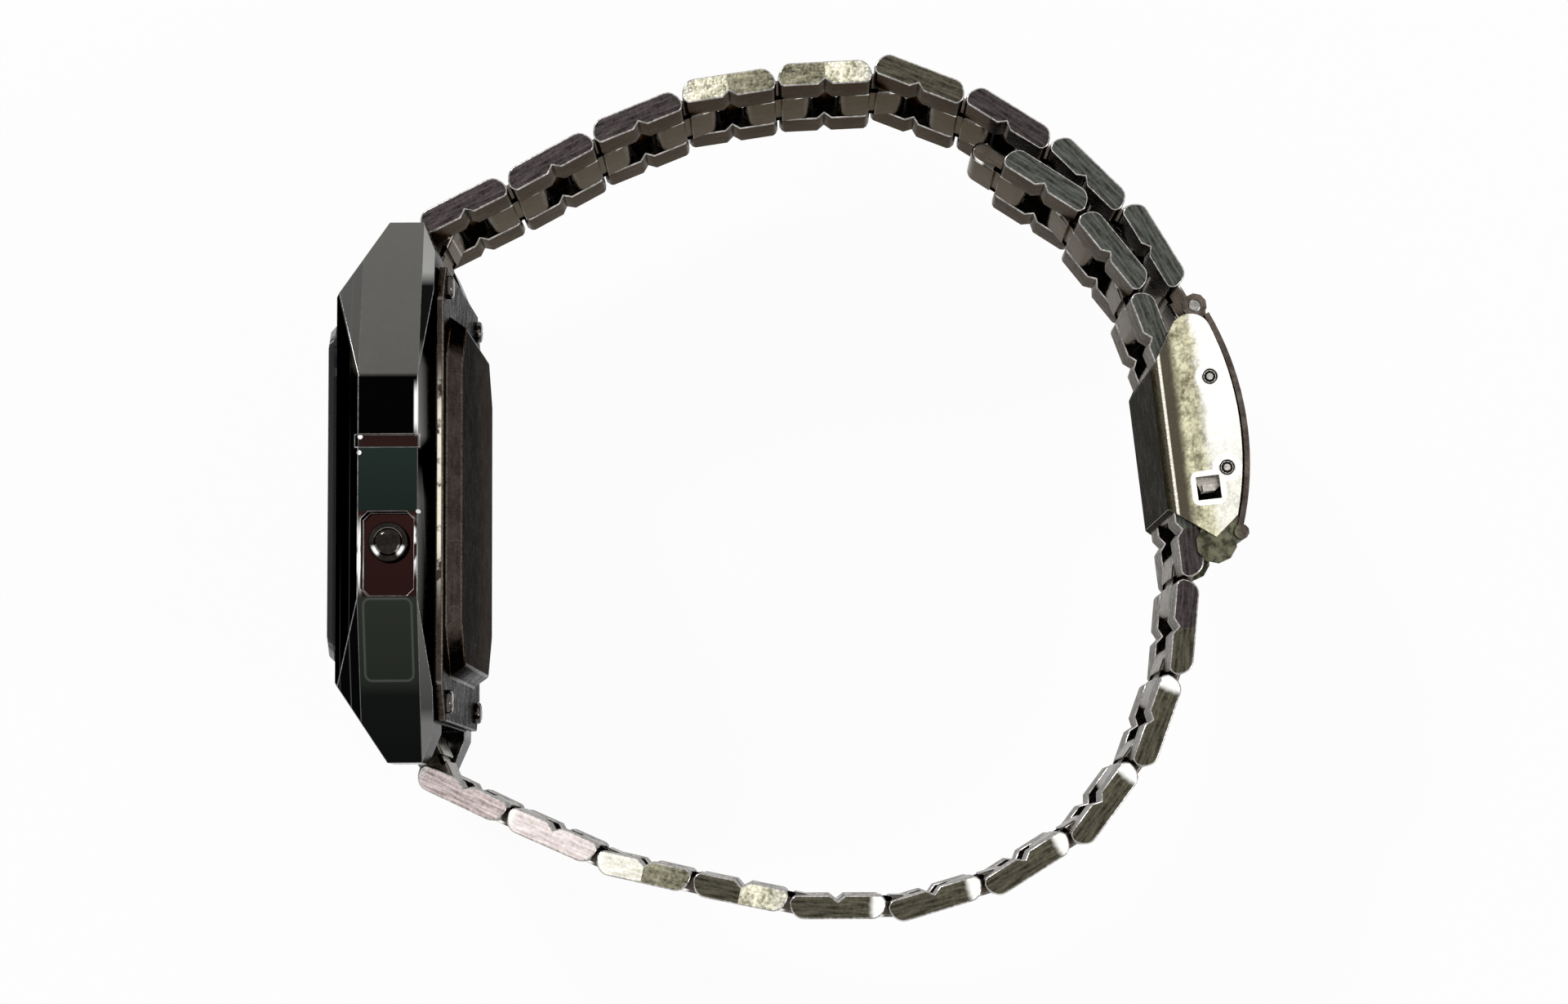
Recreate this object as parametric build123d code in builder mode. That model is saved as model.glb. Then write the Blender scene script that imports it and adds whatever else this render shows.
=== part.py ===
"""Rectangular digital watch on a folded-link steel bracelet with a sliding fold-over clasp.

The watch lies on the 9 o'clock side of its case. The origin is the centre of that side face.
+X points out of the case back, +Y to 12 o'clock and +Z to 3 o'clock, so the bracelet closes in
planes of constant Z and every link pin runs along Z. Lengths are in millimetres.
"""
from build123d import *
from math import acos, atan2, cos, degrees, pi, radians, sin
import os

# case
case_length = 38.6            # 12 to 6 o'clock
case_width = 36.3             # 9 to 3 o'clock
end_taper = 3.95              # how far each side leans in towards the ends
straight_side = 15.7          # length of the side faces between the slanted facets
side_height = 4.2             # height of the side faces, front to back
end_front = 0.35              # how far the end faces rise in front of the middle plane
end_slope = 5.6               # from the bezel's flat top out to the ends
side_slope = 2.35             # from the bezel's flat top out to the sides
bezel_rise = 1.8              # bezel above the side faces
back_rise = 0.9               # body behind the side faces
back_corner = 2.2             # slope of the back corners
crystal_border_end = 1.6      # bezel beside the crystal
crystal_border_side = 1.5
crystal_thickness = 1.4
crystal_stand = 0.85          # crystal above the bezel
crystal_bevel = 0.5
crystal_corner = 1.6
seat_ledge = 1.2              # width of the ledge under the crystal
end_wall = 6.1                # case walls beside the module
side_wall = 3.75
cavity_corner = 3.4
front_wall = 1.1              # ledge thickness between crystal and module
fit_gap = 0.05                # between pieces of one assembly
play = 0.12                   # side play beside moving pieces
overrun = 3.0                 # how far cutters run past what they cut
round_sides = 10              # small pins, bores and rings are prisms with this many sides
arc_steps = 3                 # chords in a quarter of a rounded end

# side pockets and pushers
pocket_height = 3.7
pocket_depth = 1.3
pocket_length = 5.9
pocket_corner = 0.5
pocket_offset = 4.75          # pocket centre from the middle of the case
pusher_offset = 3.9           # pusher centre from the middle of the case
groove_offset = 3.2           # centre of the groove on the other side of the guard block
groove_length = 0.9
groove_depth = 0.35
collar_radius = 1.42
collar_thickness = 0.3
dome_radius = 1.05
dome_rise = 0.35
dome_slope = 20               # degrees
pusher_travel = 0.4
stem_radius = 0.5
stem_reach = 0.75             # stem inside the case wall
stem_clearance = 0.05
seal_radius = 0.85
seal_height = 0.5
clip_radius = 1.0
clip_thickness = 0.25
spring_radius = 0.95
spring_wire = 0.3

# strap lugs
lug_x = 1.3                   # spring bar behind the middle plane
lug_inset = 1.9               # spring bar from the end of the case
strap_width = 18.0
notch_inset = 2.9             # inner end of the notch for the strap
recess_inset = 1.0            # end wall between the lugs
notch_front = 0.3             # the notch starts this far behind the middle plane
notch_room = 0.3              # beside the strap, between the lugs
bar_radius = 0.42
bar_seat = 1.1                # how far a bar reaches into each lug

# bracelet links
pitch = 7.14
link_thickness = 1.7
centre_width = 8.0
wing_gap = 0.2                # between the wings of neighbouring links
wing_round = 1.0              # rounding of a wing's outer corners, lengthwise
wing_cut = 0.42               # cut of a wing's inner corners
pin_radius = 0.4
pin_clearance = 0.05
bridge_thickness = 0.55
notch_depth = 0.42            # notch half way along a wing
notch_half = 0.55
seam_depth = 0.25             # seam half way along a centre piece
seam_half = 0.22
# directions of the links as drawn; each half then turns a little so that the loop closes
top_slants = [26.5, 28.5, 22, 8.5, 2.5, -21.5, -32.5, -45, -59]
bottom_slants = [-25.5, -24, -13, -11.5, 0, 16.5, 32, 53, 70, 84.5]
top_end_slant = 66            # end piece between the upper lug bar and the first link
bottom_end_slant = -66
clasp_slant = 96.5
clamped_links = 2
tail_slants = [110.5, 128.5, 147]

# clasp: u runs up its length from the first link inside it, v points away from the wrist
sheet = 0.35                  # sheet of the slider's walls
cheek_gap = 0.5               # between the strap and the cheeks
end_bar_u = 19.6265          # bar at the end of the upper half, on the closed cover
end_bar_v = 2.5213
cheek_top_room = 0.63         # from the end bar back to each of these places along the clasp
cheek_back_room = 1.23
cheek_shoulder_room = 1.53
cover_end_room = 0.83
web_end_room = 4.43
blade_pivot_room = 5.33
cheek_top_v = 2.2
cheek_heel_u = 4.1            # where the outer edge meets the slope to the nose
cheek_back_v = 0.7
cheek_toe_u = 5.1             # lower end of the inner edge
nose_u = 2.7
nose_v = 1.9
web_gap = 0.05                # between the strap and the slider's web
bend_radius = 0.8
pivot_v = 2.9                 # height of the blade and of both its hinges
cover_pivot_u = 4.4
blade_knuckle = 0.72
cover_knuckle = 0.62
clasp_pin = 0.36
blade_thickness = 0.45
blade_inset = 1.3             # from the strap's edge
blade_neck = 7.0              # width of the blade's end between the cover's knuckles
shoulder_room = 0.5           # between the blade's shoulders and the cover's knuckles
cover_lap = 0.1               # of the cover over each cheek
cover_thickness = 0.4
cover_crown = 0.45            # extra thickness along the middle
cover_gap = 0.12              # between the cover and the cheeks
cover_start_u = 2.85
cover_start_v = 3.75
cover_crest_u = 10.8
cover_crest_v = 5.15
cover_end_v = 3.45
roll_radius = 0.55            # rounded lower end of the cover
lug_length = 3.0              # width of each of the cover's knuckles
lug_neck = 0.9
side_layer = 0.4              # the cover's ears and tabs lie this far outside the strap
ear_radius = 0.9
ear_thickness = 0.55
ear_root = 2.2                # how far the ears run back under the cover
ear_angle = 60                # where the ear's outer edge meets its round end
tab_radius = 1.5
tab_thickness = 0.3
tab_u = 2.3
tab_v = 1.9
tab_root = 2.2
flap_pivot_u = 7.6
flap_pivot_v = 3.3
flap_start_u = 7.2
flap_end_room = 1.3           # from the flap's end to the blade's hinge
flap_thickness = 0.4
flap_lift = 0.12              # between the strap and the locking flap
flap_inset = 0.3              # from the strap's edge
flap_arm = 0.6
arm_radius = 0.75
rivet_radius = 0.36
window_u = 6.3
window_v = 1.8
window_size = 1.7
tongue_length = 0.5
tongue_height = 0.9

# case back
plate_border_end = 3.0        # body beside the plate
plate_border_side = 2.85
plate_thickness = 0.6
plate_corner = 2.6
pad_border_end = 3.3          # plate beside the pad
pad_border_side = 1.5
pad_height = 1.15
pad_corner = 3.6
pad_slope = 0.8
screw_inset_end = 1.4         # screws from the plate's edges
screw_inset_side = 3.3
screw_head_radius = 0.85
screw_head_height = 0.45
screw_shank_radius = 0.45
screw_shank_length = 1.9
screw_slot = 0.22
screw_slot_depth = 0.2
gasket_width = 0.6
gasket_height = 0.45

# module
dial_thickness = 0.3
lcd_border_end = 6.7          # module beside the display
lcd_border_side = 2.4
window_border_end = 1.7       # display hidden by the printed panel
window_border_side = 1.5
lcd_thickness = 1.2
module_clearance = 0.25
frame_wall = 1.0
board_thickness = 0.6
strip_width = 1.1
strip_height = 0.73
battery_radius = 8.0
battery_thickness = 1.6
battery_edge = 0.25
clip_width = 3.4
clip_sheet = 0.2
clip_foot = 1.1
buzzer_radius = 10.5
buzzer_thickness = 0.15
contact_radius = 0.5

# heights and places that follow from the sizes above
mid = case_width / 2
shoulder_length = case_length - 2 * end_slope
shoulder_width = case_width - 2 * side_slope
crystal_length = shoulder_length - 2 * crystal_border_end
crystal_width = shoulder_width - 2 * crystal_border_side
cavity_length = case_length - 2 * end_wall
cavity_width = case_width - 2 * side_wall
lug_y = case_length / 2 - lug_inset
plate_length = case_length - 2 * plate_border_end
plate_width = case_width - 2 * plate_border_side
pad_length = plate_length - 2 * pad_border_end
pad_width = plate_width - 2 * pad_border_side
screw_spacing_y = plate_length - 2 * screw_inset_end
screw_spacing_z = plate_width - 2 * screw_inset_side
lcd_length = cavity_length - 2 * lcd_border_end
lcd_width = cavity_width - 2 * lcd_border_side
window_y = lcd_length - 2 * window_border_end
window_z = lcd_width - 2 * window_border_side
wall_front = -side_height / 2
wall_back = side_height / 2
bezel_top = wall_front - bezel_rise
body_back = wall_back + back_rise
crystal_top = bezel_top - crystal_stand
crystal_back = crystal_top + crystal_thickness
ledge_back = crystal_back + front_wall
gasket_seat = body_back - gasket_height
back_seat = body_back + fit_gap
plate_back = back_seat + plate_thickness
pad_back = plate_back + pad_height
dial_front = ledge_back + fit_gap
lcd_front = dial_front + dial_thickness + fit_gap
strip_front = lcd_front + lcd_thickness + fit_gap
board_front = strip_front + strip_height + fit_gap
battery_front = board_front + board_thickness + fit_gap
clip_front = battery_front + battery_thickness + fit_gap
quarter = pitch / 4
half_link = link_thickness / 2
barrel_radius = half_link - fit_gap
wing_outer = strap_width / 2
wing_inner = centre_width / 2 + play
cheek_inner = wing_outer + cheek_gap
cheek_outer = cheek_inner + sheet
blade_width = strap_width - 2 * blade_inset
flap_width = strap_width - 2 * flap_inset
cheek_top_u = end_bar_u - cheek_top_room
cheek_back_u = end_bar_u - cheek_back_room
cheek_shoulder_u = end_bar_u - cheek_shoulder_room
cover_end_u = end_bar_u - cover_end_room
web_end_u = end_bar_u - web_end_room
blade_pivot_u = end_bar_u - blade_pivot_room
flap_end_u = blade_pivot_u - flap_end_room
cover_width = 2 * (cheek_outer + cover_lap)


def heading(angle):
    """A unit vector in the plane of the bracelet."""
    return Vector(cos(radians(angle)), sin(radians(angle)), 0)


def chain(start, angles):
    """Pin positions along a run of links, the first at start."""
    places = [start]
    for angle in angles:
        places.append(places[-1] + heading(angle) * pitch)
    return places


def closing_turns():
    """Turns of the upper and the lower half about their bars that close the loop: they bring the
    end of the upper half to its bar on the clasp."""
    upper = chain(heading(top_end_slant) * (pitch / 2), top_slants)[-1]
    lower = chain(heading(bottom_end_slant) * (pitch / 2), bottom_slants)[-1]
    lower += heading(clasp_slant) * (end_bar_u - quarter)
    lower += heading(clasp_slant - 90) * end_bar_v
    spread = 2 * lug_y
    surplus = upper.length ** 2 - lower.length ** 2
    upper_corner = acos((spread ** 2 + surplus) / (2 * spread * upper.length))
    lower_corner = acos((spread ** 2 - surplus) / (2 * spread * lower.length))
    upper_turn = degrees(upper_corner - pi / 2 - atan2(upper.Y, upper.X))
    lower_turn = degrees(pi / 2 - lower_corner - atan2(lower.Y, lower.X))
    return upper_turn, lower_turn


top_turn, bottom_turn = closing_turns()
top_end_angle = top_end_slant + top_turn
top_angles = [slant + top_turn for slant in top_slants]
bottom_end_angle = bottom_end_slant + bottom_turn
bottom_angles = [slant + bottom_turn for slant in bottom_slants]
clasp_angle = clasp_slant + bottom_turn
tail_angles = [slant + bottom_turn for slant in tail_slants]
top_bar = Vector(lug_x, lug_y, mid)
bottom_bar = Vector(lug_x, -lug_y, mid)
top_pins = chain(top_bar + heading(top_end_angle) * (pitch / 2), top_angles)
bottom_pins = chain(bottom_bar + heading(bottom_end_angle) * (pitch / 2), bottom_angles)
clasp_angles = [clasp_angle] * clamped_links
clasp_pins = chain(bottom_pins[-1], clasp_angles)
tail_pins = chain(clasp_pins[-1], tail_angles)
clasp_start = bottom_pins[-1] - heading(clasp_angle) * quarter


def clasp_plane(height):
    """A plane across the clasp's pins, height above the middle: its x is u and its y is v."""
    origin = clasp_start + Vector(0, 0, height)
    return Plane(origin=origin, x_dir=heading(clasp_angle), z_dir=(0, 0, -1))


def link_plane(pin, angle, height):
    """A plane across the pins of a link, height above the middle, with x along the strap."""
    return Plane(origin=pin + Vector(0, 0, height), x_dir=heading(angle), z_dir=(0, 0, 1))


def save(part, name):
    part.label = name
    export_step(part, f"parts/{name}.step")


def rod(radius):
    """Section of a small pin or ring, which just fits in a circle of this radius."""
    with BuildSketch() as section:
        RegularPolygon(radius, round_sides)
    return section.sketch


def bore(radius):
    """Section of a small hole, in which a circle of this radius just fits."""
    with BuildSketch() as section:
        RegularPolygon(radius, round_sides, major_radius=False)
    return section.sketch


def arc_points(centre_x, centre_y, reach_x, reach_y):
    """Points on a quarter of an ellipse, from its end along x to its end along y."""
    steps = [radians(90 * step / arc_steps) for step in range(arc_steps + 1)]
    return [(centre_x + reach_x * cos(t), centre_y + reach_y * sin(t)) for t in steps]


def cut_corner_plate(length, width, corner):
    """A rectangle with cut corners."""
    with BuildSketch() as plate:
        Rectangle(length, width)
        chamfer(plate.vertices(), corner)
    return plate.sketch


def wing_face(outward):
    """Side face of a wing: a rounded outer contour, and a notch half way on the inner side."""
    first = -quarter + wing_gap / 2
    last = 3 * quarter - wing_gap / 2
    low = -outward * half_link
    rise = outward * half_link - low / 2
    first_corner = arc_points(first + wing_round, low / 2, -wing_round, rise)
    last_corner = arc_points(last - wing_round, low / 2, wing_round, rise)
    with BuildSketch() as face:
        with BuildLine():
            Polyline(
                *reversed(first_corner),
                (first + wing_cut, low),
                (quarter - notch_half, low),
                (quarter, low + outward * notch_depth),
                (quarter + notch_half, low),
                (last - wing_cut, low),
                *last_corner,
                close=True,
            )
        make_face()
    return face.sketch


def centre_piece(start, angle, outward, first_bore):
    """The folded piece between two pins, with a seam where the ends of its sheet meet."""
    span = pitch / 2
    outer = outward * barrel_radius
    with BuildPart() as piece:
        with BuildSketch(link_plane(start, angle, -centre_width / 2)):
            with BuildLine():
                ThreePointArc((span, outer), (span + barrel_radius, 0), (span, -outer))
                Polyline(
                    (span, -outer),
                    (span / 2 + seam_half, -outer),
                    (span / 2 + seam_half, outward * seam_depth - outer),
                    (span / 2 - seam_half, outward * seam_depth - outer),
                    (span / 2 - seam_half, -outer),
                    (0, -outer),
                )
                if first_bore:
                    ThreePointArc((0, -outer), (-barrel_radius, 0), (0, outer))
                else:
                    Polyline(*reversed(arc_points(0, 0, -barrel_radius, -outer)))
                    Polyline(*arc_points(0, 0, -barrel_radius, outer))
                Line((0, outer), (span, outer))
            make_face()
            with Locations((span, 0)):
                add(bore(pin_radius + pin_clearance), mode=Mode.SUBTRACT)
            if first_bore:
                add(bore(first_bore), mode=Mode.SUBTRACT)
        extrude(amount=centre_width)
    return piece.part


def make_link(name, pin, angle, outward, hinged=True):
    """A link: two wings joined by a bridge and a hinge pin, and the centre piece on which the
    next link hinges, held on the link's second pin. A link that isn't hinged lacks its pin."""
    wing = wing_face(outward)
    second = pin + heading(angle) * (pitch / 2)
    bridge_length = 2 * (quarter - barrel_radius - play)
    with BuildPart() as link:
        for base in (-wing_outer, wing_inner):
            with BuildSketch(link_plane(pin, angle, base)):
                add(wing)
            extrude(amount=wing_outer - wing_inner)
        with BuildSketch(link_plane(pin, angle, -wing_inner)):
            with Locations((quarter, outward * (half_link - bridge_thickness / 2 - fit_gap))):
                Rectangle(bridge_length, bridge_thickness)
            if hinged:
                add(rod(pin_radius))
        extrude(amount=2 * wing_inner)
        with BuildSketch(link_plane(second, angle, -wing_inner)):
            Rectangle(2 * pin_radius, 2 * pin_radius)
        extrude(amount=2 * wing_inner)
        add(centre_piece(second, angle, outward, 0))
    save(link.part, name)


def make_strap():
    """Both halves of the bracelet, their end pieces and the bars in the case lugs. The closed
    loop is open at the first pin of the upper half, which is left out."""
    for number, angle in enumerate(top_angles):
        make_link(f"top_link_{number + 1}", top_pins[number], angle, 1, number > 0)
    pins = bottom_pins[:-1] + clasp_pins[:-1] + tail_pins[:-1]
    for number, angle in enumerate(bottom_angles + clasp_angles + tail_angles):
        make_link(f"bottom_link_{number + 1}", pins[number], angle, -1)
    lug_bore = bar_radius + pin_clearance
    save(centre_piece(top_bar, top_end_angle, 1, lug_bore), "top_end_link")
    save(centre_piece(bottom_bar, bottom_end_angle, -1, lug_bore), "bottom_end_link")
    half_bar = strap_width / 2 + notch_room + bar_seat - fit_gap
    with BuildPart() as bars:
        with BuildSketch(Plane.XY.offset(mid - half_bar)):
            with Locations((lug_x, lug_y), (lug_x, -lug_y)):
                add(rod(bar_radius))
        extrude(amount=2 * half_bar)
    save(bars.part, "lug_spring_bars")


def case_blank():
    """The case's outer form: a side profile cut to a plan outline and to an end profile."""
    half = case_length / 2
    with BuildPart() as blank:
        with BuildSketch(Plane.XY):
            with BuildLine():
                Polyline(
                    (bezel_top, -shoulder_length / 2),
                    (-end_front, -half),
                    (wall_back, -half),
                    (body_back, -half + back_corner),
                    (body_back, half - back_corner),
                    (wall_back, half),
                    (-end_front, half),
                    (bezel_top, shoulder_length / 2),
                    close=True,
                )
            make_face()
        extrude(amount=case_width)
        with BuildSketch(Plane.YZ.offset(bezel_top - overrun)):
            with BuildLine():
                Polyline(
                    (-half, end_taper),
                    (-straight_side / 2, 0),
                    (straight_side / 2, 0),
                    (half, end_taper),
                    (half, case_width - end_taper),
                    (straight_side / 2, case_width),
                    (-straight_side / 2, case_width),
                    (-half, case_width - end_taper),
                    close=True,
                )
            make_face()
        extrude(amount=body_back - bezel_top + 2 * overrun, mode=Mode.INTERSECT)
        with BuildSketch(Plane.XZ.offset(-half - overrun)):
            with BuildLine():
                Polyline(
                    (wall_front, 0),
                    (wall_back, 0),
                    (body_back, back_corner),
                    (body_back, case_width - back_corner),
                    (wall_back, case_width),
                    (wall_front, case_width),
                    (bezel_top, case_width - side_slope),
                    (bezel_top, side_slope),
                    close=True,
                )
            make_face()
        extrude(amount=case_length + 2 * overrun, mode=Mode.INTERSECT)
    return blank.part


def front_openings():
    """Seat of the crystal, the opening behind it, the module's room and the gasket's groove."""
    room = cut_corner_plate(cavity_length, cavity_width, cavity_corner)
    seat = cut_corner_plate(
        crystal_length + 2 * fit_gap, crystal_width + 2 * fit_gap, crystal_corner
    )
    light_opening = cut_corner_plate(
        crystal_length - 2 * seat_ledge, crystal_width - 2 * seat_ledge, crystal_corner
    )
    groove = cut_corner_plate(
        cavity_length + 2 * gasket_width, cavity_width + 2 * gasket_width, cavity_corner
    )
    with BuildPart() as openings:
        with BuildSketch(Plane.YZ.offset(crystal_back)):
            with Locations((0, mid)):
                add(seat)
        extrude(amount=bezel_top - crystal_back - overrun)
        with BuildSketch(Plane.YZ.offset(crystal_back - fit_gap)):
            with Locations((0, mid)):
                add(light_opening)
        extrude(amount=front_wall + 2 * fit_gap)
        with BuildSketch(Plane.YZ.offset(ledge_back)):
            with Locations((0, mid)):
                add(room)
        extrude(amount=body_back - ledge_back + overrun)
        with BuildSketch(Plane.YZ.offset(gasket_seat)):
            with Locations((0, mid)):
                add(groove)
        extrude(amount=gasket_height + overrun)
    return openings.part


def strap_notches():
    """Room for the strap between the lugs at both ends, with the blind holes of the bars."""
    room = strap_width / 2 + notch_room
    end = case_length / 2
    depth = recess_inset + overrun
    with BuildPart() as notches:
        for side in (-1, 1):
            with BuildSketch(Plane.XY.offset(mid - room)):
                with Locations((0, side * (end - recess_inset + depth / 2))):
                    Rectangle(2 * case_length, depth)
                with Locations((notch_front + case_length / 2, side * (end - notch_inset + depth))):
                    Rectangle(case_length, 2 * depth)
            extrude(amount=2 * room)
            with BuildSketch(Plane.XY.offset(mid - room - bar_seat)):
                with Locations((lug_x, side * lug_y)):
                    add(bore(bar_radius + fit_gap))
            extrude(amount=2 * (room + bar_seat))
    return notches.part


def sides():
    """For each side of the case: where its face is, which way is inward, and its pushers."""
    return [(0, 1, [-pusher_offset, pusher_offset]), (case_width, -1, [-pusher_offset])]


def side_pockets():
    """Pusher pockets, bores for stems and seals, and the groove beyond the guard block."""
    pocket = cut_corner_plate(pocket_height, pocket_length, pocket_corner)
    with BuildPart() as pockets:
        for base, inward, places in sides():
            for y in places:
                shift = pocket_offset - pusher_offset
                with BuildSketch(Plane.XY.offset(base)):
                    with Locations((0, y + (shift if y > 0 else -shift))):
                        add(pocket)
                extrude(amount=inward * pocket_depth)
                with BuildSketch(Plane.XY.offset(base)):
                    with Locations((0, y)):
                        add(bore(stem_radius + stem_clearance))
                extrude(amount=inward * (side_wall + overrun))
                with BuildSketch(Plane.XY.offset(base)):
                    with Locations((0, y)):
                        add(rod(seal_radius))
                extrude(amount=inward * (pocket_depth + seal_height + fit_gap))
        with BuildSketch(Plane.XY.offset(case_width)):
            with Locations((0, groove_offset)):
                Rectangle(2 * side_height, groove_length)
        extrude(amount=-groove_depth)
    return pockets.part


def make_case_body():
    blank = case_blank()
    openings = front_openings()
    notches = strap_notches()
    pockets = side_pockets()
    with BuildPart() as case:
        add(blank)
        add(openings, mode=Mode.SUBTRACT)
        add(notches, mode=Mode.SUBTRACT)
        add(pockets, mode=Mode.SUBTRACT)
        with BuildSketch(Plane.YZ.offset(body_back)):
            with Locations((0, mid)):
                with GridLocations(screw_spacing_y, screw_spacing_z, 2, 2):
                    add(bore(screw_shank_radius + fit_gap))
        extrude(amount=-screw_shank_length, mode=Mode.SUBTRACT)
    save(case.part, "case_body")


def make_crystal():
    with BuildPart() as crystal:
        with BuildSketch(Plane.YZ.offset(crystal_back - fit_gap)):
            with Locations((0, mid)):
                add(cut_corner_plate(crystal_length, crystal_width, crystal_corner))
        extrude(amount=fit_gap - crystal_thickness)
        chamfer(crystal.faces().sort_by(Axis.X)[0].edges(), crystal_bevel)
    save(crystal.part, "crystal")


def make_display():
    """Printed panel with its window, the display behind it and the display's two connectors."""
    panel = cut_corner_plate(
        cavity_length - 2 * module_clearance, cavity_width - 2 * module_clearance, cavity_corner
    )
    with BuildPart() as dial:
        with BuildSketch(Plane.YZ.offset(dial_front)):
            with Locations((0, mid)):
                add(panel)
                Rectangle(window_y, window_z, mode=Mode.SUBTRACT)
        extrude(amount=dial_thickness)
    save(dial.part, "dial_panel")
    with BuildPart() as lcd:
        with BuildSketch(Plane.YZ.offset(lcd_front)):
            with Locations((0, mid)):
                Rectangle(lcd_length, lcd_width)
        extrude(amount=lcd_thickness)
    save(lcd.part, "lcd_panel")
    reach = lcd_length / 2 - strip_width
    with BuildPart() as strips:
        with BuildSketch(Plane.YZ.offset(strip_front)):
            with Locations((-reach, mid), (reach, mid)):
                Rectangle(strip_width, lcd_width - 2 * strip_width)
        extrude(amount=strip_height)
    save(strips.part, "lcd_connectors")


def make_module_frame():
    """Plastic frame round the display and the board, with room for the pusher stems."""
    length = cavity_length - 2 * module_clearance
    width = cavity_width - 2 * module_clearance
    outside = cut_corner_plate(length, width, cavity_corner)
    inside = cut_corner_plate(length - 2 * frame_wall, width - 2 * frame_wall, cavity_corner)
    stem_room = side_wall + stem_reach + pusher_travel + 2 * play
    with BuildPart() as frame:
        with BuildSketch(Plane.YZ.offset(lcd_front)):
            with Locations((0, mid)):
                add(outside)
                Rectangle(lcd_length + 2 * fit_gap, lcd_width + 2 * fit_gap, mode=Mode.SUBTRACT)
        extrude(amount=strip_front - lcd_front)
        with BuildSketch(Plane.YZ.offset(strip_front)):
            with Locations((0, mid)):
                add(outside)
                add(inside, mode=Mode.SUBTRACT)
        extrude(amount=gasket_seat - strip_front)
        for base, inward, places in sides():
            with BuildSketch(Plane.XY.offset(base)):
                with Locations([(0, y) for y in places]):
                    Rectangle(3 * clip_radius, 3 * clip_radius)
            extrude(amount=inward * stem_room, mode=Mode.SUBTRACT)
    save(frame.part, "module_frame")


def make_power():
    """Circuit board with the battery and its clip on the back, and the buzzer's contact."""
    length = cavity_length - 2 * (module_clearance + frame_wall + fit_gap)
    width = cavity_width - 2 * (module_clearance + frame_wall + fit_gap)
    outline = cut_corner_plate(length, width, cavity_corner)
    with BuildPart() as board:
        with BuildSketch(Plane.YZ.offset(board_front)):
            with Locations((0, mid)):
                add(outline)
        extrude(amount=board_thickness)
    save(board.part, "circuit_board")
    with BuildPart() as battery:
        with BuildSketch(Plane.YZ.offset(battery_front)):
            with Locations((0, mid)):
                Circle(battery_radius)
        extrude(amount=battery_thickness)
        chamfer(battery.faces().sort_by(Axis.X)[-1].edges(), battery_edge)
    save(battery.part, "battery")
    foot = battery_radius + play + clip_foot / 2
    with BuildPart() as clip:
        with BuildSketch(Plane.YZ.offset(clip_front)):
            with Locations((0, mid)):
                Rectangle(2 * foot + clip_foot, clip_width)
        extrude(amount=clip_sheet)
        with BuildSketch(Plane.YZ.offset(battery_front)):
            with Locations((-foot, mid), (foot, mid)):
                Rectangle(clip_foot, clip_width)
        extrude(amount=clip_front - battery_front)
    save(clip.part, "battery_clip")
    with BuildPart() as contact:
        with BuildSketch(Plane.YZ.offset(battery_front)):
            with Locations((0, mid + battery_radius + 2 * contact_radius)):
                add(rod(contact_radius))
        extrude(amount=back_seat - buzzer_thickness - fit_gap - battery_front)
    save(contact.part, "buzzer_contact")


def make_case_back():
    """Screwed-on back with its raised pad, the screws, the gasket and the buzzer."""
    plate = cut_corner_plate(plate_length, plate_width, plate_corner)
    with BuildPart() as back:
        with BuildSketch(Plane.YZ.offset(back_seat)):
            with Locations((0, mid)):
                add(plate)
                with GridLocations(screw_spacing_y, screw_spacing_z, 2, 2):
                    add(bore(screw_shank_radius + fit_gap), mode=Mode.SUBTRACT)
        extrude(amount=plate_thickness)
        with BuildSketch(Plane.YZ.offset(plate_back)):
            with Locations((0, mid)):
                add(cut_corner_plate(pad_length, pad_width, pad_corner))
        extrude(amount=pad_height, taper=degrees(atan2(pad_slope, pad_height)))
    save(back.part, "case_back")
    with BuildPart() as screws:
        with BuildSketch(Plane.YZ.offset(plate_back)):
            with Locations((0, mid)):
                with GridLocations(screw_spacing_y, screw_spacing_z, 2, 2):
                    add(rod(screw_head_radius))
        extrude(amount=screw_head_height)
        with BuildSketch(Plane.YZ.offset(plate_back)):
            with Locations((0, mid)):
                with GridLocations(screw_spacing_y, screw_spacing_z, 2, 2):
                    add(rod(screw_shank_radius))
        extrude(amount=-screw_shank_length)
        with BuildSketch(Plane.YZ.offset(plate_back + screw_head_height)):
            with Locations((0, mid)):
                with GridLocations(screw_spacing_y, screw_spacing_z, 2, 2):
                    Rectangle(4 * screw_head_radius, screw_slot)
        extrude(amount=-screw_slot_depth, mode=Mode.SUBTRACT)
    save(screws.part, "back_screws")
    outer = cut_corner_plate(
        cavity_length + 2 * (gasket_width - fit_gap), cavity_width + 2 * (gasket_width - fit_gap),
        cavity_corner,
    )
    inner = cut_corner_plate(cavity_length, cavity_width, cavity_corner)
    with BuildPart() as gasket:
        with BuildSketch(Plane.YZ.offset(gasket_seat)):
            with Locations((0, mid)):
                add(outer)
                add(inner, mode=Mode.SUBTRACT)
        extrude(amount=gasket_height)
    save(gasket.part, "back_gasket")
    with BuildPart() as buzzer:
        with BuildSketch(Plane.YZ.offset(back_seat - buzzer_thickness)):
            with Locations((0, mid)):
                Circle(buzzer_radius)
        extrude(amount=buzzer_thickness)
    save(buzzer.part, "buzzer_disc")


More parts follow.
